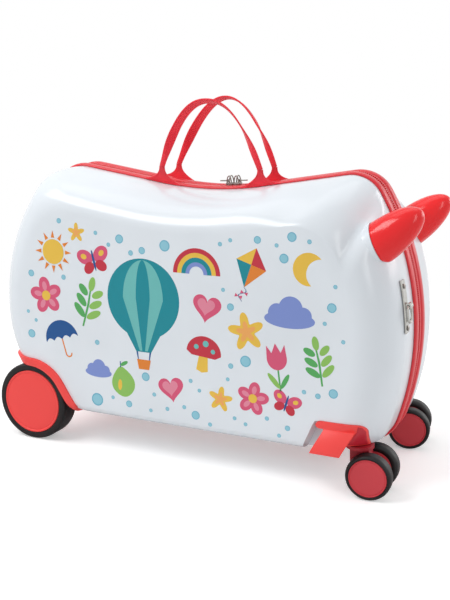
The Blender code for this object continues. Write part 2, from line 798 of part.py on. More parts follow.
def make_rear_wheel(side):
    name = SIDE_NAME[side]
    face = Vector((REAR_WHEEL_X, side * REAR_WHEEL_FACE_Y, REAR_WHEEL_RADIUS))
    outward = Vector((0.0, side, 0.0))
    disc = 0.0040
    tyre, hub = wheel_profiles(
        REAR_WHEEL_RADIUS, REAR_WHEEL_WIDTH, REAR_HUB_RADIUS, REAR_HUB_BARREL_RADIUS,
        REAR_AXLE_RADIUS, disc)
    turned(name + "_rear_tyre", tyre, "tyre_black", 32, face, outward, closed=True)
    turned(name + "_rear_hub", hub, "wheel_red", 32, face, outward)
    end = REAR_WHEEL_FACE_Y - disc - 0.0015 - SEAT_GAP
    cylinder(
        name + "_rear_axle", REAR_AXLE_RADIUS,
        (REAR_WHEEL_X, side * end, REAR_WHEEL_RADIUS),
        (REAR_WHEEL_X, side * (well_inner_y() - 0.0010), REAR_WHEEL_RADIUS), MODEL, "steel")


# Front casters

def make_front_housing(side):
    name = SIDE_NAME[side] + "_front_housing"
    blank = prism(
        "blank", offset(housing_outline(), -SEAT_GAP), side * (HOUSING_INNER_Y + SEAT_GAP),
        side * 2 * HALF_WIDTH, CUTTERS)
    blank = combine(blank, half_form("limit", side, HOUSING_PROUD, 0.0), "INTERSECT")
    blank = combine(blank, make_guard(side), "UNION")
    bore = cylinder(
        "bore", KING_PIN_RADIUS + BORE_GAP,
        (CASTER_PIVOT_X, side * CASTER_PIVOT_Y, -0.010),
        (CASTER_PIVOT_X, side * CASTER_PIVOT_Y, caster_ceiling() + 0.012 + SEAT_GAP), CUTTERS)
    blank = combine(blank, bore, "DIFFERENCE")
    return as_mesh(blank, name, MODEL, "wheel_red")


def make_guard(side):
    """Plate that slopes outwards and down from the flange, with a straight lip."""
    low_y = GUARD_LIP_Y - GUARD_THICKNESS
    deep_y = GUARD_ROOT_Y - GUARD_DEPTH
    section = [
        (deep_y, FLANGE_LOW_Z), (GUARD_ROOT_Y, FLANGE_LOW_Z), (GUARD_LIP_Y, GUARD_LIP_Z),
        (GUARD_LIP_Y, GUARD_LIP_Z - GUARD_LIP_HEIGHT), (low_y, GUARD_LIP_Z - GUARD_LIP_HEIGHT),
        (low_y, GUARD_LIP_Z - 0.5 * GUARD_THICKNESS),
        (GUARD_ROOT_Y - 0.9 * GUARD_THICKNESS, FLANGE_LOW_Z - 0.5 * GUARD_THICKNESS),
        (deep_y, FLANGE_LOW_Z - 0.5 * GUARD_THICKNESS),
    ]
    rings = []
    for x in (GUARD_REAR_X, GUARD_FRONT_X):
        rings.append([
            (x - GUARD_RAKE * (FLANGE_LOW_Z - z), side * y, z) for y, z in section])
    return loft("guard", rings, CUTTERS)


def steering(side):
    """Matrix that turns a caster drawn straight ahead to its steered place."""
    pivot = Vector((CASTER_PIVOT_X, side * CASTER_PIVOT_Y, 0.0))
    return Matrix.Translation(pivot) @ Matrix.Rotation(CASTER_STEER[side], 4, "Z")


def make_fork(side):
    name = SIDE_NAME[side] + "_fork"
    cap_low = 2 * CASTER_WHEEL_RADIUS + RUNNING_GAP
    half = FORK_LEG_WIDTH / 2
    leg = prism(name, [
        (-0.55 * FORK_LEG_LENGTH, cap_low + 0.001),
        (-0.50 * FORK_LEG_LENGTH, CASTER_WHEEL_RADIUS + 0.4 * FORK_BOSS_RADIUS),
        (CASTER_TRAIL - 0.8 * FORK_BOSS_RADIUS, CASTER_WHEEL_RADIUS - 0.6 * FORK_BOSS_RADIUS),
        (CASTER_TRAIL, CASTER_WHEEL_RADIUS - FORK_BOSS_RADIUS),
        (CASTER_TRAIL + 0.8 * FORK_BOSS_RADIUS, CASTER_WHEEL_RADIUS - 0.6 * FORK_BOSS_RADIUS),
        (CASTER_TRAIL + FORK_BOSS_RADIUS, CASTER_WHEEL_RADIUS),
        (0.55 * FORK_LEG_LENGTH, cap_low + 0.001),
    ], -half, half, CUTTERS)
    cap = cylinder(
        "cap", FORK_CAP_RADIUS, (0.0, 0.0, cap_low), (0.0, 0.0, cap_low + FORK_CAP_THICKNESS),
        CUTTERS, segments=28)
    fork = combine(leg, cap, "UNION")
    pin = cylinder(
        "pin", KING_PIN_RADIUS + BORE_GAP,
        (0.0, 0.0, cap_low - 0.008), (0.0, 0.0, cap_low + 0.050), CUTTERS)
    fork = combine(fork, pin, "DIFFERENCE")
    axle = cylinder(
        "axle", CASTER_AXLE_RADIUS + BORE_GAP,
        (CASTER_TRAIL, -0.050, CASTER_WHEEL_RADIUS), (CASTER_TRAIL, 0.050, CASTER_WHEEL_RADIUS),
        CUTTERS)
    fork = combine(fork, axle, "DIFFERENCE")
    fork = as_mesh(fork, name, MODEL, "wheel_red")
    fork.data.transform(Matrix.Rotation(CASTER_STEER[side], 4, "Z"))
    fork.location = (CASTER_PIVOT_X, side * CASTER_PIVOT_Y, 0.0)
    return fork


def make_caster(side):
    name = SIDE_NAME[side]
    place = steering(side)
    outward = (place.to_3x3() @ Vector((0.0, side, 0.0)))
    centre = place @ Vector((CASTER_TRAIL, 0.0, CASTER_WHEEL_RADIUS))
    disc = 0.0030
    tyre, hub = wheel_profiles(
        CASTER_WHEEL_RADIUS, CASTER_WHEEL_WIDTH, CASTER_HUB_RADIUS, CASTER_HUB_BARREL_RADIUS,
        CASTER_AXLE_RADIUS, disc)
    for label, direction in (("outer", outward), ("inner", -outward)):
        face = centre + direction * CASTER_WIDTH / 2
        turned("%s_%s_tyre" % (name, label), tyre, "tyre_black", 24, face, direction, closed=True)
        turned("%s_%s_hub" % (name, label), hub, "wheel_red", 24, face, direction)
    reach = CASTER_WIDTH / 2 - disc - 0.0015 - SEAT_GAP
    cylinder(
        name + "_caster_axle", CASTER_AXLE_RADIUS, centre - outward * reach, centre + outward * reach,
        MODEL, "steel", segments=16)
    cap_low = 2 * CASTER_WHEEL_RADIUS + RUNNING_GAP
    cylinder(
        name + "_king_pin", KING_PIN_RADIUS,
        (CASTER_PIVOT_X, side * CASTER_PIVOT_Y, cap_low - 0.008 + SEAT_GAP),
        (CASTER_PIVOT_X, side * CASTER_PIVOT_Y, caster_ceiling() + 0.012), MODEL, "steel",
        segments=16)


# Horns

def horn_axis(side):
    return Vector((
        cos(HORN_RISE) * cos(HORN_SPLAY), side * cos(HORN_RISE) * sin(HORN_SPLAY), sin(HORN_RISE)))


def horn_base(side):
    return Vector((HORN_X, side * HORN_Y, HORN_Z))


def make_horn(side):
    name = SIDE_NAME[side] + "_horn"
    steps = 8
    profile = [(0.0, HORN_LENGTH)]
    for index in range(1, steps + 1):
        angle = pi / 2 * index / steps
        profile.append((HORN_RADIUS * sin(angle), HORN_LENGTH * cos(angle)))
    profile.append((HORN_RADIUS, -HORN_SKIRT))
    profile.append((0.0, -HORN_SKIRT))
    axis = horn_axis(side)
    base = horn_base(side)
    horn = turned(name, profile, "horn_red", 24, base, axis)
    horn = combine(horn, half_form("seat", side, SEAT_GAP, 0.0), "DIFFERENCE")
    start = base - axis * 0.030
    screw_tip = base + axis * 0.012
    hole = cylinder(
        "hole", HORN_SCREW_RADIUS + BORE_GAP, start, screw_tip + axis * SEAT_GAP, CUTTERS, segments=12)
    horn = combine(horn, hole, "DIFFERENCE")
    horn.name = name
    return horn


def make_horn_screw(side):
    """Screw through the shell's wall into the horn."""
    axis = horn_axis(side)
    base = horn_base(side)
    cylinder(
        SIDE_NAME[side] + "_horn_screw", HORN_SCREW_RADIUS, base - axis * 0.0115,
        base + axis * 0.012, MODEL, "steel", segments=12)


# Tow fitting

def wall_arc(z_low, z_high, grow, count):
    """Points (x, z) on the front bulge between two heights."""
    points = []
    for index in range(count + 1):
        z = z_low + (z_high - z_low) * index / count
        points.append((front_wall_x(z, grow), z))
    return points


def barrel_centre():
    grow = SEAT_GAP + FITTING_THICKNESS + BARREL_RADIUS - 0.0006
    return Vector((front_wall_x(BARREL_Z, grow), FITTING_Y, BARREL_Z))


def make_fitting():
    """Plate with a barrel for the ring, on the right shell's front wall."""
    inner = wall_arc(FITTING_BOTTOM_Z, FITTING_TOP_Z, SEAT_GAP, 6)
    outer = wall_arc(FITTING_BOTTOM_Z, FITTING_TOP_Z, SEAT_GAP + FITTING_THICKNESS, 6)
    half = FITTING_WIDTH / 2
    plate = prism(
        "ring_plate", inner + outer[::-1], FITTING_Y - half, FITTING_Y + half, CUTTERS)
    centre = barrel_centre()
    along = Vector((0.0, BARREL_LENGTH / 2, 0.0))
    plate = combine(
        plate, cylinder("barrel", BARREL_RADIUS, centre - along, centre + along, CUTTERS), "UNION")
    bore = cylinder(
        "bore", RING_WIRE_RADIUS + RUNNING_GAP, centre - along * 4, centre + along * 4, CUTTERS,
        segments=14)
    plate = combine(plate, bore, "DIFFERENCE")
    plate = combine(plate, through_holes(RIGHT), "DIFFERENCE")
    as_mesh(plate, "right_ring_plate", MODEL, "chrome")
    for label, z in RIVET_HEIGHTS.items():
        make_rivet(label, z)
    make_ring()


def rivet_frame(z):
    """Place of a rivet on the shell's front wall and the direction away from the wall."""
    surface = Vector((front_wall_x(z), FITTING_Y, z))
    outward = Vector((surface.x - FRONT_BULGE_X, 0.0, z - FRONT_BULGE_Z)).normalized()
    return surface, outward


def make_rivet(label, z):
    """Rivet through the plate, the shell's wall and the lining."""
    surface, outward = rivet_frame(z)
    seat = SEAT_GAP + FITTING_THICKNESS + SEAT_GAP
    tail = SHELL_WALL + LINING_GAP + LINING_THICKNESS + 0.0008
    head = RIVET_RADIUS
    shank = RIVET_SHANK_RADIUS
    turned(
        "right_%s_rivet" % label,
        [(0.0, seat + RIVET_HEAD), (0.6 * head, seat + RIVET_HEAD), (head, seat + 0.4 * RIVET_HEAD),
         (head, seat), (shank, seat), (shank, -tail), (0.0, -tail)],
        "chrome", 14, surface, outward)


def make_ring():
    """Ring that hangs along the wall: a straight bar in the barrel, two sides and a round end."""
    centre = barrel_centre()
    _, outward = rivet_frame(BARREL_Z - RING_DROP / 2)
    down = Vector((outward.z, 0.0, -outward.x))
    half = RING_WIDTH / 2
    drop = RING_DROP - half
    corner = 0.0022
    flat = [(-half + corner, 0.0), (half - corner, 0.0), (half, -corner), (half, -drop)]
    for index in range(1, 8):
        angle = pi * index / 8
        flat.append((half * cos(angle), -drop - half * sin(angle)))
    flat += [(-half, -drop), (-half, -corner)]
    points = [centre + Vector((0.0, y, 0.0)) - down * z for y, z in flat]
    ring = wire("right_tow_ring", points, RING_WIRE_RADIUS, "chrome", cyclic=True, resolution=1)
    set_origin(ring, centre)


# Handles

def tab_places():
    return (("rear", HANDLE_X - HANDLE_SPAN / 2), ("front", HANDLE_X + HANDLE_SPAN / 2))


def tab_top():
    """Height of the top edge of the handle tabs."""
    ends = [saddle_top(x) for _, x in tab_places()]
    return max(ends) + BEAD_PROUD + TAB_HEIGHT


def tab_y():
    """Middle of the tabs' thickness: they lie against the bead's outer side."""
    return BEAD_OUTER_Y + SEAT_GAP + STRAP_THICKNESS / 2


def make_tabs(side):
    top = tab_top()
    half = STRAP_NECK_WIDTH / 2
    foot = TAB_FOOT_WIDTH / 2
    y = tab_y()
    for label, x in tab_places():
        outline = []
        for share in (-1.0, -0.5, 0.0, 0.5, 1.0):
            place = x + foot * share
            outline.append((place, saddle_top(place) + 2 * SEAT_GAP))
        shoulder = saddle_top(x) + BEAD_PROUD + 0.0015
        outline += [(x + 0.72 * foot, shoulder + 0.0012), (x + 0.50 * foot, shoulder + 0.0040),
                    (x + half, top), (x - half, top),
                    (x - 0.50 * foot, shoulder + 0.0040), (x - 0.72 * foot, shoulder + 0.0012)]
        prism(
            "%s_handle_tab_%s" % (SIDE_NAME[side], label), outline,
            side * (y - STRAP_THICKNESS / 2), side * (y + STRAP_THICKNESS / 2),
            MODEL, "webbing_red")


def handle_axis_z():
    """Height of the fold line where the strap leaves the tabs."""
    return tab_top() + 0.71 * STRAP_THICKNESS + SEAT_GAP


def make_handle(side):
    """Webbing loop over the two tabs: gathered and flat at the tabs, rolled over at the top."""
    count = 30
    bottom = handle_axis_z() - STRAP_THICKNESS / 2
    half_span = HANDLE_SPAN / 2
    top = HANDLE_RISE[side]
    shape = HANDLE_SHAPE[side]
    sideways = Vector((0.0, 1.0, 0.0))
    rings = []
    for index in range(count + 1):
        share = -1.0 + 2.0 * index / count
        x = HANDLE_X + half_span * share
        z = bottom + top * (1 - abs(share) ** shape)
        slope = shape * top / half_span * abs(share) ** (shape - 1)
        along = Vector((1.0, 0.0, -slope if share > 0 else slope)).normalized()
        if index == 0:
            along = Vector((0.0, 0.0, 1.0))
        if index == count:
            along = Vector((0.0, 0.0, -1.0))
        outward = Vector((-along.z, 0.0, along.x))
        opened = min(1.0, (z - bottom) / top / 0.35)
        roll = pi / 2 + (HANDLE_ROLL[side] - pi / 2) * opened
        wide = sideways * cos(roll) - outward * sin(roll)
        thin = along.cross(wide)
        width = STRAP_NECK_WIDTH + (STRAP_WIDTH - STRAP_NECK_WIDTH) * opened
        centre = Vector((x, side * (tab_y() + (z - bottom) * tan(HANDLE_LEAN)), z))
        rings.append([
            centre + wide * across * width / 2 + thin * through * STRAP_THICKNESS / 2
            for across, through in ((-1, -1), (1, -1), (1, 1), (-1, 1))])
    handle = loft(SIDE_NAME[side] + "_handle", rings, MODEL, "webbing_red")
    set_origin(handle, (HANDLE_X, side * tab_y(), handle_axis_z()))


# Zip sliders

def saddle_frame(x, grow):
    """Point on the saddle's arc, with the directions along it and away from the case."""
    up = Vector((SADDLE_X - x, 0.0, SADDLE_Z + SADDLE_RADIUS - saddle_top(x))).normalized()
    along = Vector((up.z, 0.0, -up.x))
    point = Vector((x, 0.0, saddle_top(x))) + up * grow
    return point, along, up


def block(name, size, rounding, place, upright_only=False):
    """Box with rounded edges, or with only its upright edges rounded."""
    shape = bmesh.new()
    bmesh.ops.create_cube(shape, size=1.0)
    bmesh.ops.scale(shape, vec=size, verts=shape.verts)
    edges = shape.edges[:]
    if upright_only:
        edges = [edge for edge in edges if abs(edge.verts[0].co.z - edge.verts[1].co.z) > size[2] / 2]
    bmesh.ops.bevel(shape, geom=edges, offset=rounding, segments=3, affect="EDGES", profile=0.5)
    shape.transform(place)
    return from_bmesh(name, shape, CUTTERS)


def make_slider(label, x, away):
    """Slider body with two wire arches, and a crossbar between them that holds the pull."""
    point, along, up = saddle_frame(x, ZIP_COIL_PROUD + RUNNING_GAP)
    across = Vector((0.0, 1.0, 0.0))
    turn = Matrix((along, across, up)).transposed().to_4x4()
    slider = block(
        label + "_slider", (SLIDER_LENGTH, SLIDER_WIDTH, SLIDER_THICKNESS), 0.0008,
        Matrix.Translation(point + up * SLIDER_THICKNESS / 2) @ turn)
    foot = 0.7 * SLIDER_THICKNESS
    steps = 8
    for y in (-ARCH_Y, ARCH_Y):
        points = []
        for index in range(steps + 1):
            angle = pi * index / steps
            points.append(
                point + across * y + along * ARCH_HALF_LENGTH * cos(angle)
                + up * (foot + ARCH_HEIGHT * sin(angle)))
        arch = wire("arch", points, ARCH_WIRE_RADIUS, "chrome", resolution=1)
        slider = combine(slider, arch, "UNION")
    lean = sqrt(1 - ((EYE_HEIGHT - foot) / ARCH_HEIGHT) ** 2)
    eye = point + up * EYE_HEIGHT + along * away * ARCH_HALF_LENGTH * lean
    bar = cylinder(
        "bar", ARCH_WIRE_RADIUS, eye - across * ARCH_Y, eye + across * ARCH_Y, CUTTERS, segments=12)
    slider = combine(slider, bar, "UNION")
    slider = as_mesh(slider, label + "_slider", MODEL, "chrome")
    set_origin(slider, (SADDLE_X, 0.0, SADDLE_Z + SADDLE_RADIUS))
    make_pull(label, eye, along * away, turn)


def make_pull(label, eye, outward, turn):
    """Flat pull with a knuckle that turns on the slider's crossbar."""
    middle = eye + outward * PULL_LENGTH / 2
    pull = block(
        label + "_pull", (PULL_LENGTH, PULL_WIDTH, PULL_THICKNESS), 0.4 * PULL_WIDTH,
        Matrix.Translation(middle) @ turn, upright_only=True)
    half = Vector((0.0, PULL_WIDTH / 2, 0.0))
    knuckle = cylinder("knuckle", KNUCKLE_RADIUS, eye - half, eye + half, CUTTERS, segments=16)
    pull = combine(pull, knuckle, "UNION")
    bore = cylinder(
        "bore", ARCH_WIRE_RADIUS + BORE_GAP, eye - 2 * half, eye + 2 * half, CUTTERS, segments=12)
    pull = combine(pull, bore, "DIFFERENCE")
    pull = as_mesh(pull, label + "_pull", MODEL, "chrome")
    set_origin(pull, eye)


def build():
    for side in SIDES:
        make_shell(side)
        make_lining(side)
        make_band(side)
        make_rear_housing(side)
        make_rear_wheel(side)
        make_front_housing(side)
        make_fork(side)
        make_caster(side)
        make_horn(side)
        make_horn_screw(side)
        make_tabs(side)
        make_handle(side)
    make_fitting()
    make_slider("rear", SLIDER_X - SLIDER_SPACING / 2, -1)
    make_slider("front", SLIDER_X + SLIDER_SPACING / 2, 1)


clear_scene()
MATERIALS = make_materials()
new_collection(MODEL)
new_collection(CUTTERS)
build()
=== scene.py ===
"""Looks of the child's ride-on case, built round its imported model.

Same frame as the model: +X is the front, with horns and casters, +Y is the rider's left, +Z is
up, and the origin is on the floor under the middle. Everything is in metres.
"""

import bmesh
import bpy
from math import atan2, cos, pi, radians, sin, sqrt, tan
from mathutils import Matrix, Vector


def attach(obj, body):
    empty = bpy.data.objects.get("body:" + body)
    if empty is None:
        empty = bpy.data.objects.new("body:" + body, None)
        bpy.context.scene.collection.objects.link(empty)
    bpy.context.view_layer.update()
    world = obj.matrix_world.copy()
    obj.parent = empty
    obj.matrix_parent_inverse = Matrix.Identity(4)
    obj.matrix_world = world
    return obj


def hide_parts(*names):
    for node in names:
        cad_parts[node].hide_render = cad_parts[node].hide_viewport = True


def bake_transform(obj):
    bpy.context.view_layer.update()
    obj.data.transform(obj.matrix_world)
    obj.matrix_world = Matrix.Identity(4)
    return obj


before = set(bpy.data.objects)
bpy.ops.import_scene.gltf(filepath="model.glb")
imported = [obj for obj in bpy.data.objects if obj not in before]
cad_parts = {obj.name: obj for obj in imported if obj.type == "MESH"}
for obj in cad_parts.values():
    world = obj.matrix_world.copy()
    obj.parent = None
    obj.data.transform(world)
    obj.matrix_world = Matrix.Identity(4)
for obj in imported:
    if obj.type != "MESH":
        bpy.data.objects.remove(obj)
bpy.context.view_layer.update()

RIGHT = -1
LEFT = 1
SIDES = (RIGHT, LEFT)
SIDE_NAME = {RIGHT: "right", LEFT: "left"}

# Outline of the rim, seen from the side
SADDLE_X = -0.0024
SADDLE_Z = 0.3025
SADDLE_RADIUS = 0.400
FRONT_RISE = radians(9.5)
REAR_RISE = radians(8.5)
FRONT_BULGE_X = -0.0624
FRONT_BULGE_Z = 0.155
FRONT_BULGE_RADIUS = 0.300
REAR_BULGE_X = -0.0199
REAR_BULGE_Z = 0.163
REAR_BULGE_RADIUS = 0.230
BOTTOM_Z = 0.036
HUMP_RADIUS = 0.036
FRONT_FOOT_RADIUS = 0.038
REAR_FOOT_RADIUS = 0.124

# How far the flat outer face lies inside the rim, and its corner radii
FACE_INSET_TOP = 0.040
FACE_INSET_FRONT = 0.044
FACE_INSET_REAR = 0.042
FACE_INSET_BOTTOM = 0.017
FACE_FRONT_HUMP_RADIUS = 0.050
FACE_FRONT_FOOT_RADIUS = 0.055
FACE_REAR_FOOT_RADIUS = 0.090
FACE_REAR_HUMP_RADIUS = 0.055

# Depth of each half
HALF_WIDTH = 0.100
STRAIGHT_WALL_Y = 0.048
STRAIGHT_TOP_Y = 0.0215
HUMP_POWER = 1.35
BEVEL_FADE = 1 / 6
SHELL_EDGE_Y = 0.0078
SHELL_WALL = 0.0022
SEAT_GAP = 0.0003

# Ends of the forms that cut, safely outside the case
BEYOND_Y = 2 * HALF_WIDTH
PAST_MIDDLE = 0.010
UNDER_FLOOR_Z = -0.010

# Red band round the split
BEAD_INNER_Y = 0.0078
BEAD_OUTER_Y = 0.0195
BEAD_PROUD = 0.0034
BEAD_FLANGE = 0.0012
TAPE_PROUD = 0.0012
TOOTH_SPACING = 0.0022
# Each section of a tooth: its y, half width, and low and high side
TOOTH_SECTIONS = (
    (0.0034, 0.00042, 0.0010, 0.0019), (0.0012, 0.00042, 0.0010, 0.0025),
    (-0.0007, 0.00052, 0.0008, 0.0025),
)
HINGE_EDGE_Y = 0.0074

# Wheels
REAR_WHEEL_X = -0.2011
REAR_WHEEL_RADIUS = 0.0465
REAR_WHEEL_WIDTH = 0.028
REAR_WHEEL_FACE_Y = 0.0985
REAR_HUB_RADIUS = 0.0383
CASTER_X = 0.2003
CASTER_Y = 0.0776
CASTER_TRAIL = 0.0145
CASTER_RADIUS = 0.0243
CASTER_WHEEL_WIDTH = 0.016
CASTER_WIDTH = 0.049
CASTER_HUB_RADIUS = 0.0201
CASTER_STEER = {RIGHT: radians(2.5), LEFT: radians(9.8)}
CASTER_CEILING = 0.0528
SWEEP_GAP = 0.0022

# Rear wheel housing
WELL_INNER_Y = 0.0637
WELL_WALL = 0.0040
ARCH_PROUD = 0.0028
ARCH_LIP_DEPTH = 0.0005
ARCH_LIP_WIDTH = 0.0093
ARCH_TOP_Z = 0.1022
ARCH_TURN_X = -0.1985
ARCH_RADIUS = 0.0537
ARCH_SLOPE = radians(57.0)
ARCH_TOE_Z = 0.0502
ARCH_TOE_LEAN = radians(33.0)
ARCH_STEPS = 26

# Front wheel housing and its sloping guard
HOUSING_PROUD = 0.0016
# How far the darker sheet of painted shade stands out over the bracket's face
SHADE_SHEET_PROUD = 0.0004
HOUSING_INNER_Y = 0.0680
HOUSING_REAR_X = 0.1671
FLANGE_LOW_Z = 0.0706
FLANGE_EDGE = (
    (0.1628, 0.0706), (0.1598, 0.0718), (0.1586, 0.0744), (0.1600, 0.0774), (0.1646, 0.0790),
    (0.1871, 0.0790), (0.1998, 0.0782), (0.2040, 0.0777), (0.2075, 0.0763), (0.2099, 0.0740),
    (0.2112, 0.0706),
)
RECESS_REAR_X = 0.1396
RECESS_LEAN = 0.42
GUARD_REAR_X = 0.1682
GUARD_FRONT_X = 0.2006
GUARD_ROOT_Y = 0.1018
GUARD_LIP_Y = 0.1135
GUARD_LIP_Z = 0.0523
GUARD_LIP_HEIGHT = 0.0053
GUARD_THICKNESS = 0.0028
GUARD_DEPTH = 0.0160
GUARD_RAKE = 0.49

# Horns
HORN_X = 0.2089
HORN_Y = 0.0620
HORN_Z = 0.2612
HORN_RADIUS = 0.0217
HORN_LENGTH = 0.0548
HORN_SKIRT = 0.0185
HORN_RISE = radians(39.5)
HORN_SPLAY = radians(2.0)
HORN_FOOT_TILT = radians(25.0)
HORN_SEAT_LIP = 0.0009
HORN_SEAT_FLARE = 0.0050

# Handles
HANDLE_X = 0.0001
HANDLE_SPAN = 0.1220
HANDLE_RISE = {RIGHT: 0.0738, LEFT: 0.0770}
HANDLE_SHAPE = {RIGHT: 2.25, LEFT: 2.0}
HANDLE_LEAN = radians(3.5)
HANDLE_ROLL = {RIGHT: radians(21.0), LEFT: radians(14.0)}
HANDLE_TWIST = {RIGHT: 0.0, LEFT: radians(20.0)}
STRAP_WIDTH = 0.0130
STRAP_NECK_WIDTH = 0.0068
STRAP_THICKNESS = 0.0020
TAB_Y = 0.0210
TAB_TOP_Z = 0.3250
TAB_FOOT_WIDTH = 0.0500
HANDLE_FOOT_Z = 0.3258

# Fine steps for the round stretches
OUTLINE_SEGMENTS = {
    "saddle": 28, "front_rise": 5, "front_hump": 18, "front_bulge": 42, "front_foot": 14,
    "bottom": 12, "rear_foot": 22, "rear_bulge": 28, "rear_hump": 16, "rear_rise": 6,
}
SHOULDER_STEPS = 16
FLATNESS = radians(0.05)
CREASE = radians(38)

# Camera that took the photograph's view, in degrees and metres
CAMERA_AZIMUTH = 24.9755
CAMERA_ELEVATION = 12.6643
CAMERA_DISTANCE = 1.1013
CAMERA_TARGET = (0.0089, 0.0, 0.1713)
CAMERA_LENS = 56.44

# Studio; each lamp has a name, azimuth, elevation, distance, size and power
FLOOR_REACH = 2.5
FLOOR_FADE = (0.42, 1.10)
FLOOR_LIFT = 0.36
WORLD_LIGHT = 0.40
LAMP_TARGET = (0.0, 0.0, 0.16)
LAMPS = (
    ("key", -48.0, 47.0, 1.9, (1.3, 0.66), 19.0),
    ("overhead", -150.0, 80.0, 2.0, (2.0, 1.2), 8.0),
    ("rim", 130.0, 18.0, 1.8, (1.2, 0.8), 9.0),
    ("front_fill", 58.0, 24.0, 2.2, (0.45, 1.5), 6.5),
)

# Colours, as linear light
SHELL_WHITE = (0.80, 0.85, 0.90)
TRIM_RED = (0.74, 0.034, 0.046)
TAPE_RED = (0.80, 0.035, 0.050)
TOOTH_RED = (0.80, 0.040, 0.050)
WEBBING_RED = (0.95, 0.030, 0.052)
THREAD_RED = (0.98, 0.070, 0.090)
HORN_RED = (0.93, 0.011, 0.014)
WHEEL_RED = (0.94, 0.076, 0.070)
CASTER_RED = (0.62, 0.055, 0.070)
# Painted shade: darker red for the shaded front face of the caster bracket
PAINTED_SHADE_RED = (0.56, 0.022, 0.040)
# Painted shade: the fork's red, darkened for the shade it sits in under the housing
FORK_SHADED_RED = (0.42, 0.020, 0.034)
TYRE_BLACK = (0.007, 0.006, 0.0065)
CHROME = (0.50, 0.49, 0.46)
GUNMETAL = (0.30, 0.27, 0.25)
STEEL = (0.50, 0.50, 0.51)
LINING_GREY = (0.28, 0.30, 0.34)
PRINT = {
    "sky": (0.17, 0.48, 0.63),
    "teal": (0.008, 0.265, 0.325),
    "mint": (0.16, 0.52, 0.50),
    "yellow": (0.86, 0.55, 0.075),
    "orange": (0.80, 0.24, 0.035),
    "rose": (0.72, 0.10, 0.20),
    "crimson": (0.58, 0.035, 0.060),
    "green": (0.10, 0.42, 0.12),
    "leaf": (0.28, 0.55, 0.12),
    "periwinkle": (0.22, 0.30, 0.66),
    "navy": (0.012, 0.090, 0.300),
    "pale_sky": (0.29, 0.60, 0.72),
    "pink": (0.80, 0.26, 0.36),
    "apricot": (0.90, 0.42, 0.12),
}


# Materials

def feed(tree, socket, value):
    """Give an input a value, or link it to the output that is given as one."""
    if isinstance(value, bpy.types.NodeSocket):
        tree.links.new(value, socket)
    else:
        socket.default_value = value


def set_up(tree, node, **settings):
    """Set a node's inputs and properties by name, with _ for a space."""
    for name, value in settings.items():
        label = name.replace("_", " ")
        if label in node.inputs:
            feed(tree, node.inputs[label], value)
        else:
            setattr(node, name, value)


def add_node(tree, kind, *values, **settings):
    """New node with settings by name; its first inputs can be fed in order."""
    node = tree.nodes.new(kind)
    set_up(tree, node, **settings)
    for socket, value in zip(node.inputs, values):
        feed(tree, socket, value)
    return node


def principled(name, colour, roughness, **settings):
    material = bpy.data.materials.new(name)
    material.use_nodes = True
    material.diffuse_color = (*colour, 1.0)
    tree = material.node_tree
    shader = tree.nodes["Principled BSDF"]
    set_up(tree, shader, Base_Color=(*colour, 1.0), Roughness=roughness, **settings)
    return material, shader, tree


def noise(tree, scale, detail=3.0):
    """Noise that is fixed to the object's own space, in features per metre."""
    place = add_node(tree, "ShaderNodeTexCoord").outputs["Object"]
    return add_node(tree, "ShaderNodeTexNoise", Vector=place, Scale=scale, Detail=detail).outputs["Fac"]


def tint(tree, shader, colour, factor, dark, light):
    """Colour that wanders a little darker and lighter with a factor."""
    ramp = add_node(tree, "ShaderNodeValToRGB", Fac=factor)
    for stop, position, share in zip(ramp.color_ramp.elements, (0.30, 0.70), (dark, light)):
        stop.position = position
        stop.color = (*(min(1.0, channel * share) for channel in colour), 1.0)
    set_up(tree, shader, Base_Color=ramp.outputs["Color"])


def vary_roughness(tree, shader, factor, low, high):
    spread = add_node(tree, "ShaderNodeMapRange", Value=factor, To_Min=low, To_Max=high)
    set_up(tree, shader, Roughness=spread.outputs["Result"])


def relief(tree, shader, height, strength, distance):
    bump = add_node(tree, "ShaderNodeBump", Strength=strength, Distance=distance, Height=height)
    set_up(tree, shader, Normal=bump.outputs["Normal"])


def plastic(name, colour, roughness, grain=900.0, depth=0.00004, gloss=0.5):
    """Moulded plastic: a little uneven in colour and gloss, with a fine surface grain."""
    material, shader, tree = principled(name, colour, roughness, Specular_IOR_Level=gloss)
    tint(tree, shader, colour, noise(tree, 9.0), 0.965, 1.02)
    vary_roughness(tree, shader, noise(tree, 60.0), roughness - 0.03, roughness + 0.05)
    relief(tree, shader, noise(tree, grain, 2.0), 0.35, depth)
    return material


def rubber(name, colour):
    material, shader, tree = principled(name, colour, 0.5, Specular_IOR_Level=0.3)
    tint(tree, shader, colour, noise(tree, 40.0), 0.7, 1.6)
    vary_roughness(tree, shader, noise(tree, 180.0), 0.36, 0.55)
    relief(tree, shader, noise(tree, 1400.0, 2.0), 0.4, 0.00005)
    return material


def metal(name, colour, roughness):
    material, shader, tree = principled(name, colour, roughness, Metallic=1.0)
    tint(tree, shader, colour, noise(tree, 120.0), 0.86, 1.05)
    vary_roughness(tree, shader, noise(tree, 300.0), roughness - 0.04, roughness + 0.08)
    return material


def threads(tree, axis, period, place):
    """Rows of threads across one axis of the coordinates, a period apart in metres."""
    wave = add_node(
        tree, "ShaderNodeTexWave", bands_direction=axis, Vector=place, Scale=pi / 10 / period,
        Distortion=0.0)
    return wave.outputs["Fac"]


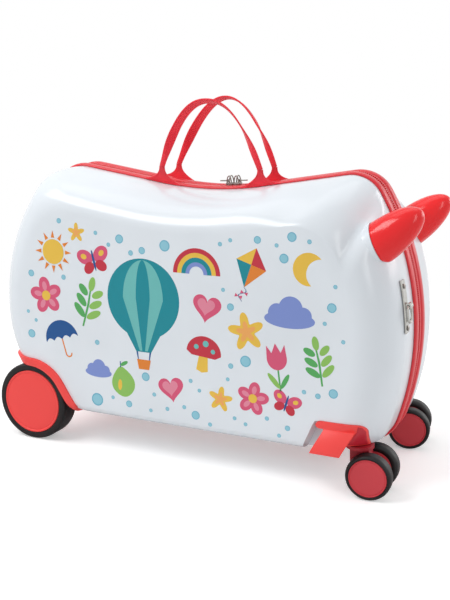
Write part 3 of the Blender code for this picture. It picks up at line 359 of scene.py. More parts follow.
def woven(name, colour, across, along, depth, coordinates="UV", sheen=0.3):
    """Woven fabric: warp and weft ribs, darker between the threads as painted shade, with a soft sheen."""
    material, shader, tree = principled(
        name, colour, 0.75, Sheen_Weight=sheen, Sheen_Roughness=0.45, Specular_IOR_Level=0.35)
    place = add_node(tree, "ShaderNodeTexCoord").outputs[coordinates]
    weave = add_node(
        tree, "ShaderNodeMix", data_type="FLOAT", Factor=0.5, A=threads(tree, "X", across, place),
        B=threads(tree, "Y", along, place)).outputs["Result"]
    # Painted shade between the threads and a touch of painted light on their crests
    tint(tree, shader, colour, weave, 0.90, 1.03)
    relief(tree, shader, weave, 0.8, depth)
    return material


def make_materials():
    matt = {"grain": 1600.0, "depth": 0.00005}
    made = {
        "shell": plastic("shell_gloss", SHELL_WHITE, 0.19, grain=70.0, depth=0.00005, gloss=0.45),
        "trim": plastic("piping_vinyl", TRIM_RED, 0.30, grain=500.0, gloss=0.4),
        "tape": woven("zip_tape", TAPE_RED, 0.0012, 0.0009, 0.0002),
        "tooth": plastic("zip_teeth", TOOTH_RED, 0.35),
        "webbing": woven("webbing", WEBBING_RED, 0.0021, 0.0016, 0.0004),
        "thread": woven("sewing_thread", THREAD_RED, 0.0006, 0.0004, 0.0001),
        "horn": plastic("horn_gloss", HORN_RED, 0.16, grain=90.0, depth=0.00006, gloss=0.4),
        "wheel": plastic("wheel_plastic", WHEEL_RED, 0.40, gloss=0.3, **matt),
        "caster": plastic("caster_plastic", CASTER_RED, 0.45, gloss=0.3, **matt),
        # Painted shade for the bracket's shaded face
        "shade_patch": plastic("bracket_painted_shade", PAINTED_SHADE_RED, 0.30, gloss=0.35, **matt),
        "tyre": rubber("tyre_rubber", TYRE_BLACK),
        "chrome": metal("bright_metal", CHROME, 0.20),
        "gunmetal": metal("dark_metal", GUNMETAL, 0.26),
        # Painted shade on the fork under the housing
        "fork": plastic("fork_painted_shade", FORK_SHADED_RED, 0.40, gloss=0.3, **matt),
        "steel": metal("plain_steel", STEEL, 0.32),
        "lining": woven("lining_cloth", LINING_GREY, 0.0024, 0.0020, 0.0003, "Object", 0.2),
    }
    for name, colour in PRINT.items():
        made[name] = plastic("print_" + name, colour, 0.16, grain=70.0, depth=0.00005, gloss=0.3)
    return made


MATERIALS = make_materials()


# Mesh helpers

def shares(steps):
    """Even shares from 0 to 1."""
    return [index / steps for index in range(steps + 1)]


def link_mesh(name, shape, materials):
    """Object made of a bmesh, which is used up."""
    mesh = bpy.data.meshes.new(name)
    shape.to_mesh(mesh)
    shape.free()
    for material in materials:
        mesh.materials.append(material)
    piece = bpy.data.objects.new(name, mesh)
    bpy.context.scene.collection.objects.link(piece)
    return piece


def shade(mesh):
    mesh.shade_smooth()
    mesh.set_sharp_from_angle(angle=CREASE)


def new_piece(name, shape, material, smooth=True):
    bmesh.ops.recalc_face_normals(shape, faces=shape.faces)
    piece = link_mesh(name, shape, [MATERIALS[material]])
    if smooth:
        shade(piece.data)
    return piece


def settle(piece):
    """Replace a piece's modifiers by the mesh that they make."""
    bpy.context.view_layer.update()
    graph = bpy.context.evaluated_depsgraph_get()
    mesh = bpy.data.meshes.new_from_object(piece.evaluated_get(graph))
    piece.modifiers.clear()
    piece.data = mesh
    shade(mesh)
    return piece


def combine(piece, other, operation):
    """Boolean of two pieces; the other one is used up."""
    modifier = piece.modifiers.new("combine", "BOOLEAN")
    modifier.operation = operation
    modifier.solver = "EXACT"
    modifier.object = other
    settle(piece)
    bpy.data.objects.remove(other, do_unlink=True)
    return piece


def soften(piece, width):
    """Round a piece's hard edges."""
    bevel = piece.modifiers.new("soften", "BEVEL")
    bevel.width = width
    bevel.segments = 2
    bevel.limit_method = "ANGLE"
    bevel.angle_limit = radians(40)
    return settle(piece)


def prism(name, outline, y_from, y_to, material):
    """Solid with a side view given as (x, z) points, from one depth to another."""
    shape = bmesh.new()
    shape.faces.new([shape.verts.new((x, y_from, z)) for x, z in outline])
    swept = bmesh.ops.extrude_face_region(shape, geom=shape.faces[:])
    moved = [item for item in swept["geom"] if isinstance(item, bmesh.types.BMVert)]
    bmesh.ops.translate(shape, verts=moved, vec=(0.0, y_to - y_from, 0.0))
    return new_piece(name, shape, material)


def skin(shape, rings, closed=False):
    """Faces between neighbouring rings of equally many points; an open run is capped."""
    made = [[shape.verts.new(place) for place in ring] for ring in rings]
    pairs = list(zip(made, made[1:]))
    if closed:
        pairs.append((made[-1], made[0]))
    faces = []
    for low, high in pairs:
        for index in range(len(low)):
            after = (index + 1) % len(low)
            faces.append(shape.faces.new((low[index], low[after], high[after], high[index])))
    if not closed:
        shape.faces.new(made[0])
        shape.faces.new(made[-1])
    return faces


def loft(name, rings, material, closed=False, weave=None):
    """Skin through rings, with UVs in metres where weave is given.

    weave is a pair: the width of one turn round a ring, and the length of the whole run."""
    shape = bmesh.new()
    uv_layer = shape.loops.layers.uv.new("weave") if weave else None
    faces = skin(shape, rings, closed)
    around = len(rings[0])
    runs = len(faces) // around
    if weave:
        for number, face in enumerate(faces):
            run, index = divmod(number, around)
            for loop, turned, advanced in zip(face.loops, (0, 1, 1, 0), (0, 0, 1, 1)):
                loop[uv_layer].uv = (
                    weave[0] * (index + turned) / around, weave[1] * (run + advanced) / runs)
    else:
        bmesh.ops.connect_verts_nonplanar(shape, angle_limit=FLATNESS, faces=shape.faces[:])
    return new_piece(name, shape, material)


def lathe(name, profile, place, direction, material, steps, closed=False):
    """Turn a profile of (radius, height) points about the direction through a place."""
    turn = Vector(direction).to_track_quat("Z", "Y").to_matrix()
    shape = bmesh.new()
    rings = []
    for index in range(steps):
        angle = 2 * pi * index / steps
        rings.append([
            shape.verts.new(
                Vector(place) + turn @ Vector((radius * cos(angle), radius * sin(angle), height)))
            for radius, height in profile])
    for here, after in zip(rings, rings[1:] + rings[:1]):
        for row in range(len(profile) if closed else len(profile) - 1):
            below = (row + 1) % len(profile)
            shape.faces.new((here[row], here[below], after[below], after[row]))
    bmesh.ops.remove_doubles(shape, verts=shape.verts, dist=1e-7)
    return new_piece(name, shape, material)


def rounded(corners, radius, steps=4):
    """Profile whose corners are turned into small arcs."""
    points = [Vector(corner) for corner in corners]
    result = [tuple(points[0])]
    for before, here, after in zip(points, points[1:], points[2:]):
        reach = min(radius, (before - here).length / 2, (after - here).length / 2)
        start = here + (before - here).normalized() * reach
        end = here + (after - here).normalized() * reach
        for share in shares(steps):
            low = start.lerp(here, share)
            high = here.lerp(end, share)
            result.append(tuple(low.lerp(high, share)))
    result.append(tuple(points[-1]))
    return result


# The outline of the case, seen from the side

def arc_points(centre, radius, start, end, count, inward=False):
    points = []
    for share in shares(count)[:-1]:
        angle = start + (end - start) * share
        away = Vector((cos(angle), sin(angle)))
        points.append((centre + away * radius, -away if inward else away))
    return points


def line_points(start, end, normal, count):
    return [(start.lerp(end, share), normal) for share in shares(count)[:-1]]


def fillet_centre(point, direction, inward, radius, bulge, bulge_radius):
    start = point + inward * radius - bulge
    reach = bulge_radius - radius
    along = start.dot(direction)
    return bulge + start + direction * (sqrt(along ** 2 - start.length_squared + reach ** 2) - along)


def turn_angle(centre, start_angle, point):
    away = point - centre
    angle = atan2(away.y, away.x)
    while angle > start_angle:
        angle -= 2 * pi
    return angle


def case_outline(top, front, rear, bottom, front_hump, front_foot, rear_foot, rear_hump):
    """Closed outline, clockwise from the rear end of the saddle, as points with normals."""
    saddle = Vector((SADDLE_X, SADDLE_Z + SADDLE_RADIUS))
    saddle_radius = SADDLE_RADIUS + top
    front_line = Vector((cos(FRONT_RISE), sin(FRONT_RISE)))
    front_up = Vector((-sin(FRONT_RISE), cos(FRONT_RISE)))
    rear_line = Vector((-cos(REAR_RISE), sin(REAR_RISE)))
    rear_up = Vector((sin(REAR_RISE), cos(REAR_RISE)))
    bottom_line = Vector((1.0, 0.0))
    bottom_up = Vector((0.0, 1.0))
    saddle_front = saddle - front_up * saddle_radius
    saddle_rear = saddle - rear_up * saddle_radius
    bottom_middle = Vector((0.0, BOTTOM_Z + bottom))
    bulge_f = Vector((FRONT_BULGE_X, FRONT_BULGE_Z))
    bulge_r = Vector((REAR_BULGE_X, REAR_BULGE_Z))
    radius_f = FRONT_BULGE_RADIUS - front
    radius_r = REAR_BULGE_RADIUS - rear

    hump_f = fillet_centre(saddle_front, front_line, -front_up, front_hump, bulge_f, radius_f)
    foot_f = fillet_centre(bottom_middle, bottom_line, bottom_up, front_foot, bulge_f, radius_f)
    foot_r = fillet_centre(bottom_middle, -bottom_line, bottom_up, rear_foot, bulge_r, radius_r)
    hump_r = fillet_centre(saddle_rear, rear_line, -rear_up, rear_hump, bulge_r, radius_r)

    up_f = pi / 2 + FRONT_RISE
    front_top = turn_angle(bulge_f, up_f, hump_f)
    front_low = turn_angle(bulge_f, front_top, foot_f)
    down = -pi / 2
    rear_low = turn_angle(bulge_r, down, foot_r)
    rear_top = turn_angle(bulge_r, rear_low, hump_r)
    up_r = pi / 2 - REAR_RISE - 2 * pi

    count = OUTLINE_SEGMENTS
    points = arc_points(
        saddle, saddle_radius, -pi / 2 - REAR_RISE, -pi / 2 + FRONT_RISE, count["saddle"], True)
    points += line_points(saddle_front, hump_f + front_up * front_hump, front_up, count["front_rise"])
    points += arc_points(hump_f, front_hump, up_f, front_top, count["front_hump"])
    points += arc_points(bulge_f, radius_f, front_top, front_low, count["front_bulge"])
    points += arc_points(foot_f, front_foot, front_low, down, count["front_foot"])
    points += line_points(
        foot_f - bottom_up * front_foot, foot_r - bottom_up * rear_foot, -bottom_up, count["bottom"])
    points += arc_points(foot_r, rear_foot, down, rear_low, count["rear_foot"])
    points += arc_points(bulge_r, radius_r, rear_low, rear_top, count["rear_bulge"])
    points += arc_points(hump_r, rear_hump, rear_top, up_r, count["rear_hump"])
    points += line_points(hump_r + rear_up * rear_hump, saddle_rear, rear_up, count["rear_rise"])
    return points


RIM = case_outline(
    0.0, 0.0, 0.0, 0.0, HUMP_RADIUS, FRONT_FOOT_RADIUS, REAR_FOOT_RADIUS, HUMP_RADIUS)
FACE = case_outline(
    FACE_INSET_TOP, FACE_INSET_FRONT, FACE_INSET_REAR, FACE_INSET_BOTTOM,
    FACE_FRONT_HUMP_RADIUS, FACE_FRONT_FOOT_RADIUS, FACE_REAR_FOOT_RADIUS, FACE_REAR_HUMP_RADIUS)


def grown(outline, amount):
    return [point + normal * amount for point, normal in outline]


def section_start(name):
    names = list(OUTLINE_SEGMENTS)
    return sum(OUTLINE_SEGMENTS[earlier] for earlier in names[:names.index(name)])


def ease(share):
    """Smooth step from 0 to 1."""
    share = max(0.0, min(1.0, share))
    return share * share * (3.0 - 2.0 * share)


def wall_shape():
    """Depth to which the wall stays straight, and power of its shoulder's curve, at each point."""
    shapes = []
    for name, count in OUTLINE_SEGMENTS.items():
        for along in shares(count)[:-1]:
            fade = ease(along / BEVEL_FADE)
            share, bevel = {
                "saddle": (0.0, 0.0), "rear_rise": (0.0, 0.0), "front_rise": (0.0, ease(along)),
                "front_hump": (0.0, 1.0), "front_bulge": (fade, 1.0 - fade),
                "rear_hump": (ease(1.0 - along), 0.0),
            }.get(name, (1.0, 0.0))
            depth = STRAIGHT_TOP_Y + (STRAIGHT_WALL_Y - STRAIGHT_TOP_Y) * share
            shapes.append((depth, 2.0 + (HUMP_POWER - 2.0) * bevel))
    return shapes


def half_form(name, side, grow, open_y, material="shell"):
    """Solid with the outer shape of one half, grown by a distance, open side at open_y."""
    rim = grown(RIM, grow)
    face = grown(FACE, grow)
    shapes = wall_shape()
    rings = [
        [(point, open_y) for point in rim],
        [(point, straight) for point, (straight, _) in zip(rim, shapes)]]
    for share in shares(SHOULDER_STEPS)[1:]:
        angle = pi / 2 * share
        ring = []
        for outer, inner, (straight, power) in zip(rim, face, shapes):
            inset = 1 - max(0.0, cos(angle)) ** (2 / power)
            reach = sin(angle) ** (2 / power)
            depth = straight + (HALF_WIDTH + grow - straight) * reach
            ring.append((outer.lerp(inner, inset), depth))
        rings.append(ring)
    return loft(
        name, [[(point.x, side * y, point.y) for point, y in ring] for ring in rings], material)


# Shells

def recess_outline():
    """Side view of the recess behind the front wheel: a leaning rear wall, then the flange's edge."""
    corner_z = 0.0738
    outline = [(RECESS_REAR_X + RECESS_LEAN * (z - BOTTOM_Z), z) for z in (UNDER_FLOOR_Z, corner_z)]
    outline.append((FLANGE_EDGE[2][0] - 0.0010, corner_z + 0.0038))
    outline += FLANGE_EDGE[4:]
    outline.append((FLANGE_EDGE[-1][0], UNDER_FLOOR_Z))
    return outline


def offset(outline, amount):
    """A closed outline of (x, z) points moved outwards, square to its edges."""
    points = [Vector(point) for point in outline]
    following = points[1:] + points[:1]
    area = sum(here.x * after.y - after.x * here.y for here, after in zip(points, following))
    turn = 1.0 if area > 0 else -1.0
    normals = []
    for here, after in zip(points, following):
        along = (after - here).normalized()
        normals.append(Vector((along.y, -along.x)) * turn)
    moved = []
    for index, point in enumerate(points):
        before, after = normals[index - 1], normals[index]
        place = point + (before + after) * amount / (1.0 + before.dot(after))
        moved.append((place.x, place.y))
    return moved


def cut_recess(form, side, grow):
    """Cut the front caster's recess, and the room that it turns in, out of a half's form."""
    wedge = prism(
        "wedge", offset(recess_outline(), grow), side * (HOUSING_INNER_Y - grow), side * BEYOND_Y,
        "shell")
    form = combine(form, wedge, "DIFFERENCE")
    radius = sqrt((CASTER_TRAIL + CASTER_RADIUS) ** 2 + (CASTER_WIDTH / 2) ** 2) + SWEEP_GAP + grow
    ceiling = CASTER_CEILING + grow
    around = [2 * pi * share for share in shares(64)[:-1]]
    sweep = loft("sweep", [
        [(CASTER_X + radius * cos(turn), side * CASTER_Y + radius * sin(turn), z) for turn in around]
        for z in (UNDER_FLOOR_Z, ceiling)], "shell")
    return combine(form, sweep, "DIFFERENCE")


def crossing(first, first_normal, second, second_normal):
    """Point where two lines meet, each given by a point on it and its normal."""
    reach = Vector((first.dot(first_normal), second.dot(second_normal)))
    spread = first_normal.x * second_normal.y - first_normal.y * second_normal.x
    return Vector((
        (reach.x * second_normal.y - reach.y * first_normal.y) / spread,
        (reach.y * first_normal.x - reach.x * second_normal.x) / spread))


def arch_outline(grow, toe_grow, below=UNDER_FLOOR_Z):
    """Side view of the rear wheel arch, whose foot turns back towards the wheel."""
    radius = ARCH_RADIUS + grow
    centre = Vector((ARCH_TURN_X, ARCH_TOP_Z - ARCH_RADIUS))
    points = []
    for share in shares(ARCH_STEPS):
        angle = ARCH_SLOPE * share
        points.append((centre.x + radius * sin(angle), centre.y + radius * cos(angle)))
    slope_normal = Vector((sin(ARCH_SLOPE), cos(ARCH_SLOPE)))
    toe_normal = Vector((cos(ARCH_TOE_LEAN), -sin(ARCH_TOE_LEAN)))
    slope_foot = centre + slope_normal * ARCH_RADIUS
    toe = slope_foot + Vector((1 / tan(ARCH_SLOPE), -1.0)) * (slope_foot.y - ARCH_TOE_Z)
    slope = centre + slope_normal * radius
    corner = crossing(slope, slope_normal, toe + toe_normal * toe_grow, toe_normal)
    behind = REAR_BULGE_X - REAR_BULGE_RADIUS - 0.030
    points.append((corner.x, corner.y))
    points.append((corner.x - (corner.y - below) * tan(ARCH_TOE_LEAN), below))
    points.append((behind, below))
    points.append((behind, points[0][1]))
    return points


def make_shell(side):
    name = SIDE_NAME[side]
    shell = cut_recess(half_form(name + "_shell_skin", side, 0.0, SHELL_EDGE_Y), side, 0.0)
    inside = half_form("inside", side, -SHELL_WALL, -PAST_MIDDLE)
    shell = combine(shell, cut_recess(inside, side, SHELL_WALL), "DIFFERENCE")
    well_y = WELL_INNER_Y - SEAT_GAP
    arch = prism("arch", arch_outline(0.0, 0.0), side * well_y, side * BEYOND_Y, "shell")
    shell = combine(shell, arch, "DIFFERENCE")
    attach(shell, name + "_half")
    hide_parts(name + "_shell")
    return shell


# The red band: two beads, zip tape and teeth

def band(name, side, section, material, first=0, last=None, weave=None):
    """Sweep a cross-section of (y, height over the shell) along a stretch of the rim."""
    closed = last is None
    count = len(RIM) if closed else (last - first) % len(RIM) + 1
    rings = []
    for step in range(count):
        point, normal = RIM[(first + step) % len(RIM)]
        places = [(point + normal * height, y) for y, height in section]
        rings.append([(place.x, side * y, place.y) for place, y in places])
    return loft(name, rings, material, closed, weave)


def bead_section():
    """Piping: a rounded cord with a flat sewn flange towards the zip."""
    middle = (BEAD_INNER_Y + BEAD_OUTER_Y) / 2
    half = (BEAD_OUTER_Y - BEAD_INNER_Y) / 2
    section = [(BEAD_INNER_Y, SEAT_GAP)]
    for share in shares(14):
        angle = pi * (1 - share)
        height = BEAD_FLANGE + (BEAD_PROUD - BEAD_FLANGE) * sin(angle) ** 0.75
        section.append((middle + half * cos(angle), height))
    section.append((BEAD_OUTER_Y, SEAT_GAP))
    return section


def make_bead(side):
    name = SIDE_NAME[side]
    bead = band(name + "_piping", side, bead_section(), "trim")
    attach(bead, name + "_half")
    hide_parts(name + "_rim_bead")


def rim_run(first, last, spacing):
    """Places a spacing apart along a stretch of the rim, each as point, direction and normal."""
    count = (last - first) % len(RIM) + 1
    path = [RIM[(first + step) % len(RIM)] for step in range(count)]
    places = []
    travelled = 0.0
    wanted = spacing / 2
    for (here, normal), (after, next_normal) in zip(path, path[1:]):
        length = (after - here).length
        while wanted <= travelled + length:
            share = (wanted - travelled) / length
            places.append((
                here.lerp(after, share), (after - here).normalized(),
                normal.lerp(next_normal, share).normalized()))
            wanted += spacing
        travelled += length
    return places, travelled


def add_tooth(shape, point, along, normal, side):
    """One zip tooth: a head past the middle line, between two of the other side's, and a root."""
    rings = []
    for y, half, low, high in TOOTH_SECTIONS:
        corners = ((-half, low), (half, low), (half, high), (-half, high))
        places = [point + along * across + normal * height for across, height in corners]
        rings.append([(place.x, side * y, place.y) for place in places])
    skin(shape, rings)


def make_zip(side):
    name = SIDE_NAME[side]
    first = section_start("rear_foot") + 1
    last = section_start("bottom") - 1
    places, length = rim_run(first, last, TOOTH_SPACING)
    raised = TAPE_PROUD + 0.0004
    section = [
        (0.0010, SEAT_GAP), (0.0010, TAPE_PROUD), (0.0040, TAPE_PROUD), (0.0043, raised),
        (0.0070, raised), (0.0075, TAPE_PROUD), (0.0075, SEAT_GAP)]
    tape = band(name + "_zip_tape", side, section, "tape", first, last, (0.018, length))
    shape = bmesh.new()
    shift = 0.0 if side == RIGHT else TOOTH_SPACING / 2
    for point, along, normal in places:
        add_tooth(shape, point + along * shift, along, normal, side)
    teeth = new_piece(name + "_zip_teeth", shape, "tooth", smooth=False)
    for piece in (tape, teeth):
        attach(piece, name + "_half")
        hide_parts(name + "_zip_half")


def make_hinge():
    """Sewn tape under the case, hanging a little lower along its middle, where the halves fold open."""
    top = BOTTOM_Z
    start_x = RIM[section_start("bottom")][0].x
    end_x = RIM[section_start("rear_foot")][0].x
    rings = []
    for share in shares(14):
        y = HINGE_EDGE_Y * (2 * share - 1)
        low = top - 0.0016 - 0.0006 * cos(pi * y / HINGE_EDGE_Y)
        rings.append([
            (start_x, y, top - SEAT_GAP), (end_x, y, top - SEAT_GAP), (end_x, y, low), (start_x, y, low)])
    tape = loft("hinge_tape", rings, "tape", weave=(2 * (start_x - end_x), 2 * HINGE_EDGE_Y))
    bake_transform(tape)
    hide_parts("right_hinge_leaf", "left_hinge_leaf")


# Wheel housings

def make_rear_housing(side):
    """Red wheel well whose lip stands out of the shell round the wheel."""
    name = SIDE_NAME[side]
    beyond = side * BEYOND_Y
    inside = WELL_INNER_Y + WELL_WALL
    housing = prism(
        name + "_wheel_arch", arch_outline(-SEAT_GAP, -SEAT_GAP, BOTTOM_Z), side * WELL_INNER_Y, beyond,
        "wheel")
    housing = combine(housing, half_form("limit", side, ARCH_PROUD, 0.0, "wheel"), "INTERSECT")
    mouth = arch_outline(-ARCH_LIP_WIDTH, -WELL_WALL - ARCH_LIP_DEPTH)
    mouth = prism("mouth", mouth, side * (inside - SEAT_GAP), beyond, "wheel")
    housing = combine(housing, mouth, "DIFFERENCE")
    cavity = prism("cavity", arch_outline(-WELL_WALL, -WELL_WALL), side * inside, beyond, "wheel")
    cavity = combine(cavity, half_form("depth", side, -ARCH_LIP_DEPTH, 0.0, "wheel"), "INTERSECT")
    housing = combine(housing, cavity, "DIFFERENCE")
    soften(housing, 0.0008)
    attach(housing, name + "_half")
    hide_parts(name + "_rear_housing")


def make_guard(side):
    """Plate that slopes outwards and down from the flange, with a straight lip."""
    low_y = GUARD_LIP_Y - GUARD_THICKNESS
    deep_y = GUARD_ROOT_Y - GUARD_DEPTH
    under = 0.5 * GUARD_THICKNESS
    section = [
        (deep_y, FLANGE_LOW_Z), (GUARD_ROOT_Y, FLANGE_LOW_Z), (GUARD_LIP_Y, GUARD_LIP_Z),
        (GUARD_LIP_Y, GUARD_LIP_Z - GUARD_LIP_HEIGHT), (low_y, GUARD_LIP_Z - GUARD_LIP_HEIGHT),
        (low_y, GUARD_LIP_Z - under), (GUARD_ROOT_Y - 0.9 * GUARD_THICKNESS, FLANGE_LOW_Z - under),
        (deep_y, FLANGE_LOW_Z - under),
    ]
    rings = []
    for x in (GUARD_REAR_X, GUARD_FRONT_X):
        rings.append([(x - GUARD_RAKE * (FLANGE_LOW_Z - z), side * y, z) for y, z in section])
    return loft("guard", rings, "wheel")


def make_front_housing(side):
    """Bracket round the caster's recess, with its guard and a darker sheet of painted shade in its face."""
    name = SIDE_NAME[side]
    outline = [(HOUSING_REAR_X, CASTER_CEILING), (HOUSING_REAR_X, FLANGE_LOW_Z)]
    outline += FLANGE_EDGE
    outline.append((FLANGE_EDGE[-1][0], CASTER_CEILING))
    housing = prism(
        name + "_caster_bracket", offset(outline, -SEAT_GAP), side * (HOUSING_INNER_Y + SEAT_GAP),
        side * BEYOND_Y, "wheel")
    housing = combine(housing, half_form("limit", side, HOUSING_PROUD, 0.0, "wheel"), "INTERSECT")
    housing = combine(housing, make_guard(side), "UNION")
    soften(housing, 0.0007)
    for piece in (housing, make_bracket_shade(name, side)):
        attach(piece, name + "_half")
        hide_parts(name + "_front_housing")


def make_bracket_shade(name, side):
    """Painted shade: a darker sheet in the bracket's face, ahead of the guard, where that face lies in
    shade.
    """
    margin = 0.0016
    low = CASTER_CEILING + margin
    front_x, front_z = FLANGE_EDGE[-1]
    front_x -= 0.0014
    outline = [
        (GUARD_FRONT_X + 0.0022, FLANGE_EDGE[6][1] - margin),
        (FLANGE_EDGE[8][0], FLANGE_EDGE[8][1] - margin), (front_x, front_z), (front_x, low),
        (GUARD_FRONT_X - GUARD_RAKE * (FLANGE_LOW_Z - CASTER_CEILING), low),
        (GUARD_FRONT_X + 0.0012, FLANGE_LOW_Z)]
    # Painted shade: a darker sheet over the part of the bracket's face that lies in shade
    shade_patch = prism(
        name + "_bracket_shade_sheet", outline, side * (HOUSING_INNER_Y + 0.004), side * BEYOND_Y, "shade_patch")
    limit = half_form("limit", side, HOUSING_PROUD + SHADE_SHEET_PROUD, 0.0, "shade_patch")
    return soften(combine(shade_patch, limit, "INTERSECT"), 0.0003)


# Wheels

def wheel_pieces(name, radius, width, hub, face, direction, body, nodes, hub_material):
    """Tyre with rounded shoulders and a hub cap with a raised rim round a flat middle."""
    barrel = 0.86 * hub
    depth = 0.0036
    tyre = rounded([
        (hub + 0.0002, -depth), (hub + 0.0002, -0.0004), (radius - 0.0016, -0.0004),
        (radius, -0.0030), (radius, -width + 0.0030), (radius - 0.0020, -width),
        (barrel, -width), (barrel, -depth)], 0.0018)
    made = lathe(name + "_tyre_ring", tyre, face, direction, "tyre", 72, closed=True)
    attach(made, body)
    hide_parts(nodes[0])
    cap = rounded([
        (0.0, -0.0005), (0.30 * hub, -0.0005), (0.80 * hub, -0.0006),
        (0.905 * hub, -0.0008), (0.925 * hub, -0.0012), (0.945 * hub, -0.0003),
        (0.985 * hub, -0.0001), (hub, -0.0010), (hub, -depth),
        (barrel, -depth), (barrel, -width + 0.0006), (0.55 * hub, -width + 0.0006),
        (0.50 * hub, -width + 0.0030), (0.0, -width + 0.0030)], 0.0006, 3)
    made = lathe(name + "_hub_cap", cap, face, direction, hub_material, 72)
    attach(made, body)
    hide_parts(nodes[1])


def make_rear_wheel(side):
    name = SIDE_NAME[side]
    wheel_pieces(
        name + "_rear", REAR_WHEEL_RADIUS, REAR_WHEEL_WIDTH, REAR_HUB_RADIUS,
        (REAR_WHEEL_X, side * REAR_WHEEL_FACE_Y, REAR_WHEEL_RADIUS), (0.0, side, 0.0),
        name + "_rear_wheel", (name + "_rear_tyre", name + "_rear_hub"), "wheel")


def make_caster(side):
    turn = Matrix.Rotation(CASTER_STEER[side], 3, "Z")
    pivot = Vector((CASTER_X, side * CASTER_Y, 0.0))
    outward = turn @ Vector((0.0, side, 0.0))
    centre = pivot + turn @ Vector((CASTER_TRAIL, 0.0, CASTER_RADIUS))
    for label, direction in (("_outer", outward), ("_inner", -outward)):
        wheel = SIDE_NAME[side] + label
        wheel_pieces(
            wheel, CASTER_RADIUS, CASTER_WHEEL_WIDTH, CASTER_HUB_RADIUS,
            centre + direction * CASTER_WIDTH / 2, direction, wheel + "_wheel",
            (wheel + "_tyre", wheel + "_hub"), "caster")


# Horns

def make_horn(side):
    """Bull-nosed grip seated on the shell."""
    name = SIDE_NAME[side]
    axis = Vector((
        cos(HORN_RISE) * cos(HORN_SPLAY), side * cos(HORN_RISE) * sin(HORN_SPLAY), sin(HORN_RISE)))
    base = Vector((HORN_X, side * HORN_Y, HORN_Z))
    profile = [(0.0, HORN_LENGTH)]
    for share in shares(36)[1:]:
        angle = pi / 2 * share
        profile.append((HORN_RADIUS * sin(angle), HORN_LENGTH * cos(angle)))
    profile += [(HORN_RADIUS, -HORN_SKIRT), (0.0, -HORN_SKIRT)]
    horn = lathe(name + "_horn_grip", profile, base, axis, "horn", 80)
    horn = combine(horn, horn_foot(base, side), "DIFFERENCE")
    horn = combine(horn, half_form("seat", side, SEAT_GAP, 0.0, "horn"), "DIFFERENCE")
    soften(horn, 0.0006)
    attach(horn, name + "_half")
    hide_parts(name + "_horn")
    make_horn_seat(side, base, axis)


def horn_foot(base, side):
    """Half space behind the slanted plane that ends a horn."""
    reach = 0.080
    back = Vector((-cos(HORN_FOOT_TILT), -sin(HORN_FOOT_TILT))) * reach
    along = Vector((-sin(HORN_FOOT_TILT), cos(HORN_FOOT_TILT))) * reach
    middle = Vector((base.x, base.z))
    corners = [middle - along, middle + along, middle + along + back, middle - along + back]
    return prism("foot", [tuple(corner) for corner in corners], 0.0, side * BEYOND_Y, "horn")


def make_horn_seat(side, base, axis):
    """Boss moulded in the shell, spreading from the horn's foot down to the wall."""
    name = SIDE_NAME[side]
    lip = HORN_RADIUS + HORN_SEAT_LIP
    depth = 1.4 * HORN_SKIRT
    profile = [(0.0, HORN_SKIRT), (lip, HORN_SKIRT), (lip, 0.0)]
    for share in shares(8)[1:]:
        profile.append((lip + HORN_SEAT_FLARE * share ** 2, -depth * share))
    profile.append((0.0, -depth))
    seat = lathe(name + "_horn_seat", profile, base - axis * 0.0010, axis, "shell", 80)
    seat = combine(seat, horn_foot(base - axis * 0.0004, side), "INTERSECT")
    seat = combine(seat, half_form("wall", side, 0.0, 0.0), "DIFFERENCE")
    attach(seat, name + "_half")


# Webbing handles

def strap_section(width, thickness, bulge):
    """Flat webbing with rolled edges, as (across, through) points."""
    points = []
    corner = thickness / 2
    reach = width / 2 - corner
    for direction in (1, -1):
        for share in shares(6):
            across = 2 * share - 1
            lift = bulge * (1 - across ** 2)
            points.append((direction * across * reach, direction * (corner + lift)))
        for index in range(1, 4):
            angle = pi / 2 - pi * index / 4
            points.append((
                direction * (reach + corner * cos(angle)), direction * corner * sin(angle)))
    return points


def make_handle(side):
    """Webbing loop: gathered at its necks, opened flat and rolled over along the top."""
    name = SIDE_NAME[side]
    half_span = HANDLE_SPAN / 2
    top = HANDLE_RISE[side]
    power = HANDLE_SHAPE[side]
    sideways = Vector((0.0, 1.0, 0.0))
    rings = []
    length = 0.0
    before = None
    for run in shares(96):
        share = sin(pi * run - pi / 2)
        x = HANDLE_X + half_span * share
        z = HANDLE_FOOT_Z + top * (1 - abs(share) ** power)
        slope = power * top / half_span * abs(share) ** (power - 1)
        along = Vector((1.0, 0.0, -slope if share > 0 else slope)).normalized()
        outward = Vector((-along.z, 0.0, along.x))
        opened = ease((z - HANDLE_FOOT_Z) / top / 0.66)
        roll = HANDLE_ROLL[side] + HANDLE_TWIST[side] * max(0.0, -share)
        roll = pi / 2 + (roll - pi / 2) * opened
        wide = sideways * cos(roll) - outward * sin(roll)
        thin = along.cross(wide)
        width = STRAP_NECK_WIDTH + (STRAP_WIDTH - STRAP_NECK_WIDTH) * opened
        thickness = STRAP_THICKNESS * (1.35 - 0.35 * opened)
        centre = Vector((x, side * (TAB_Y + (z - HANDLE_FOOT_Z) * tan(HANDLE_LEAN)), z))
        rings.append([
            centre + wide * across + thin * through
            for across, through in strap_section(width, thickness, 0.0004 * (1 - opened))])
        if before is not None:
            length += (centre - before).length
        before = centre
    strap = loft(name + "_carry_strap", rings, "webbing", weave=(2 * STRAP_WIDTH, length))
    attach(strap, name + "_carry_handle")
    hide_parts(name + "_handle")


def saddle_top(x):
    return SADDLE_Z + SADDLE_RADIUS - sqrt(SADDLE_RADIUS ** 2 - (x - SADDLE_X) ** 2)


def tab_half_width(rise):
    """Half width of a tab at a share of its height: wide at the foot, sweeping in to the neck."""
    neck = STRAP_NECK_WIDTH / 2
    foot = TAB_FOOT_WIDTH / 2
    return neck + (foot - neck) * (1 - rise) ** 2.6


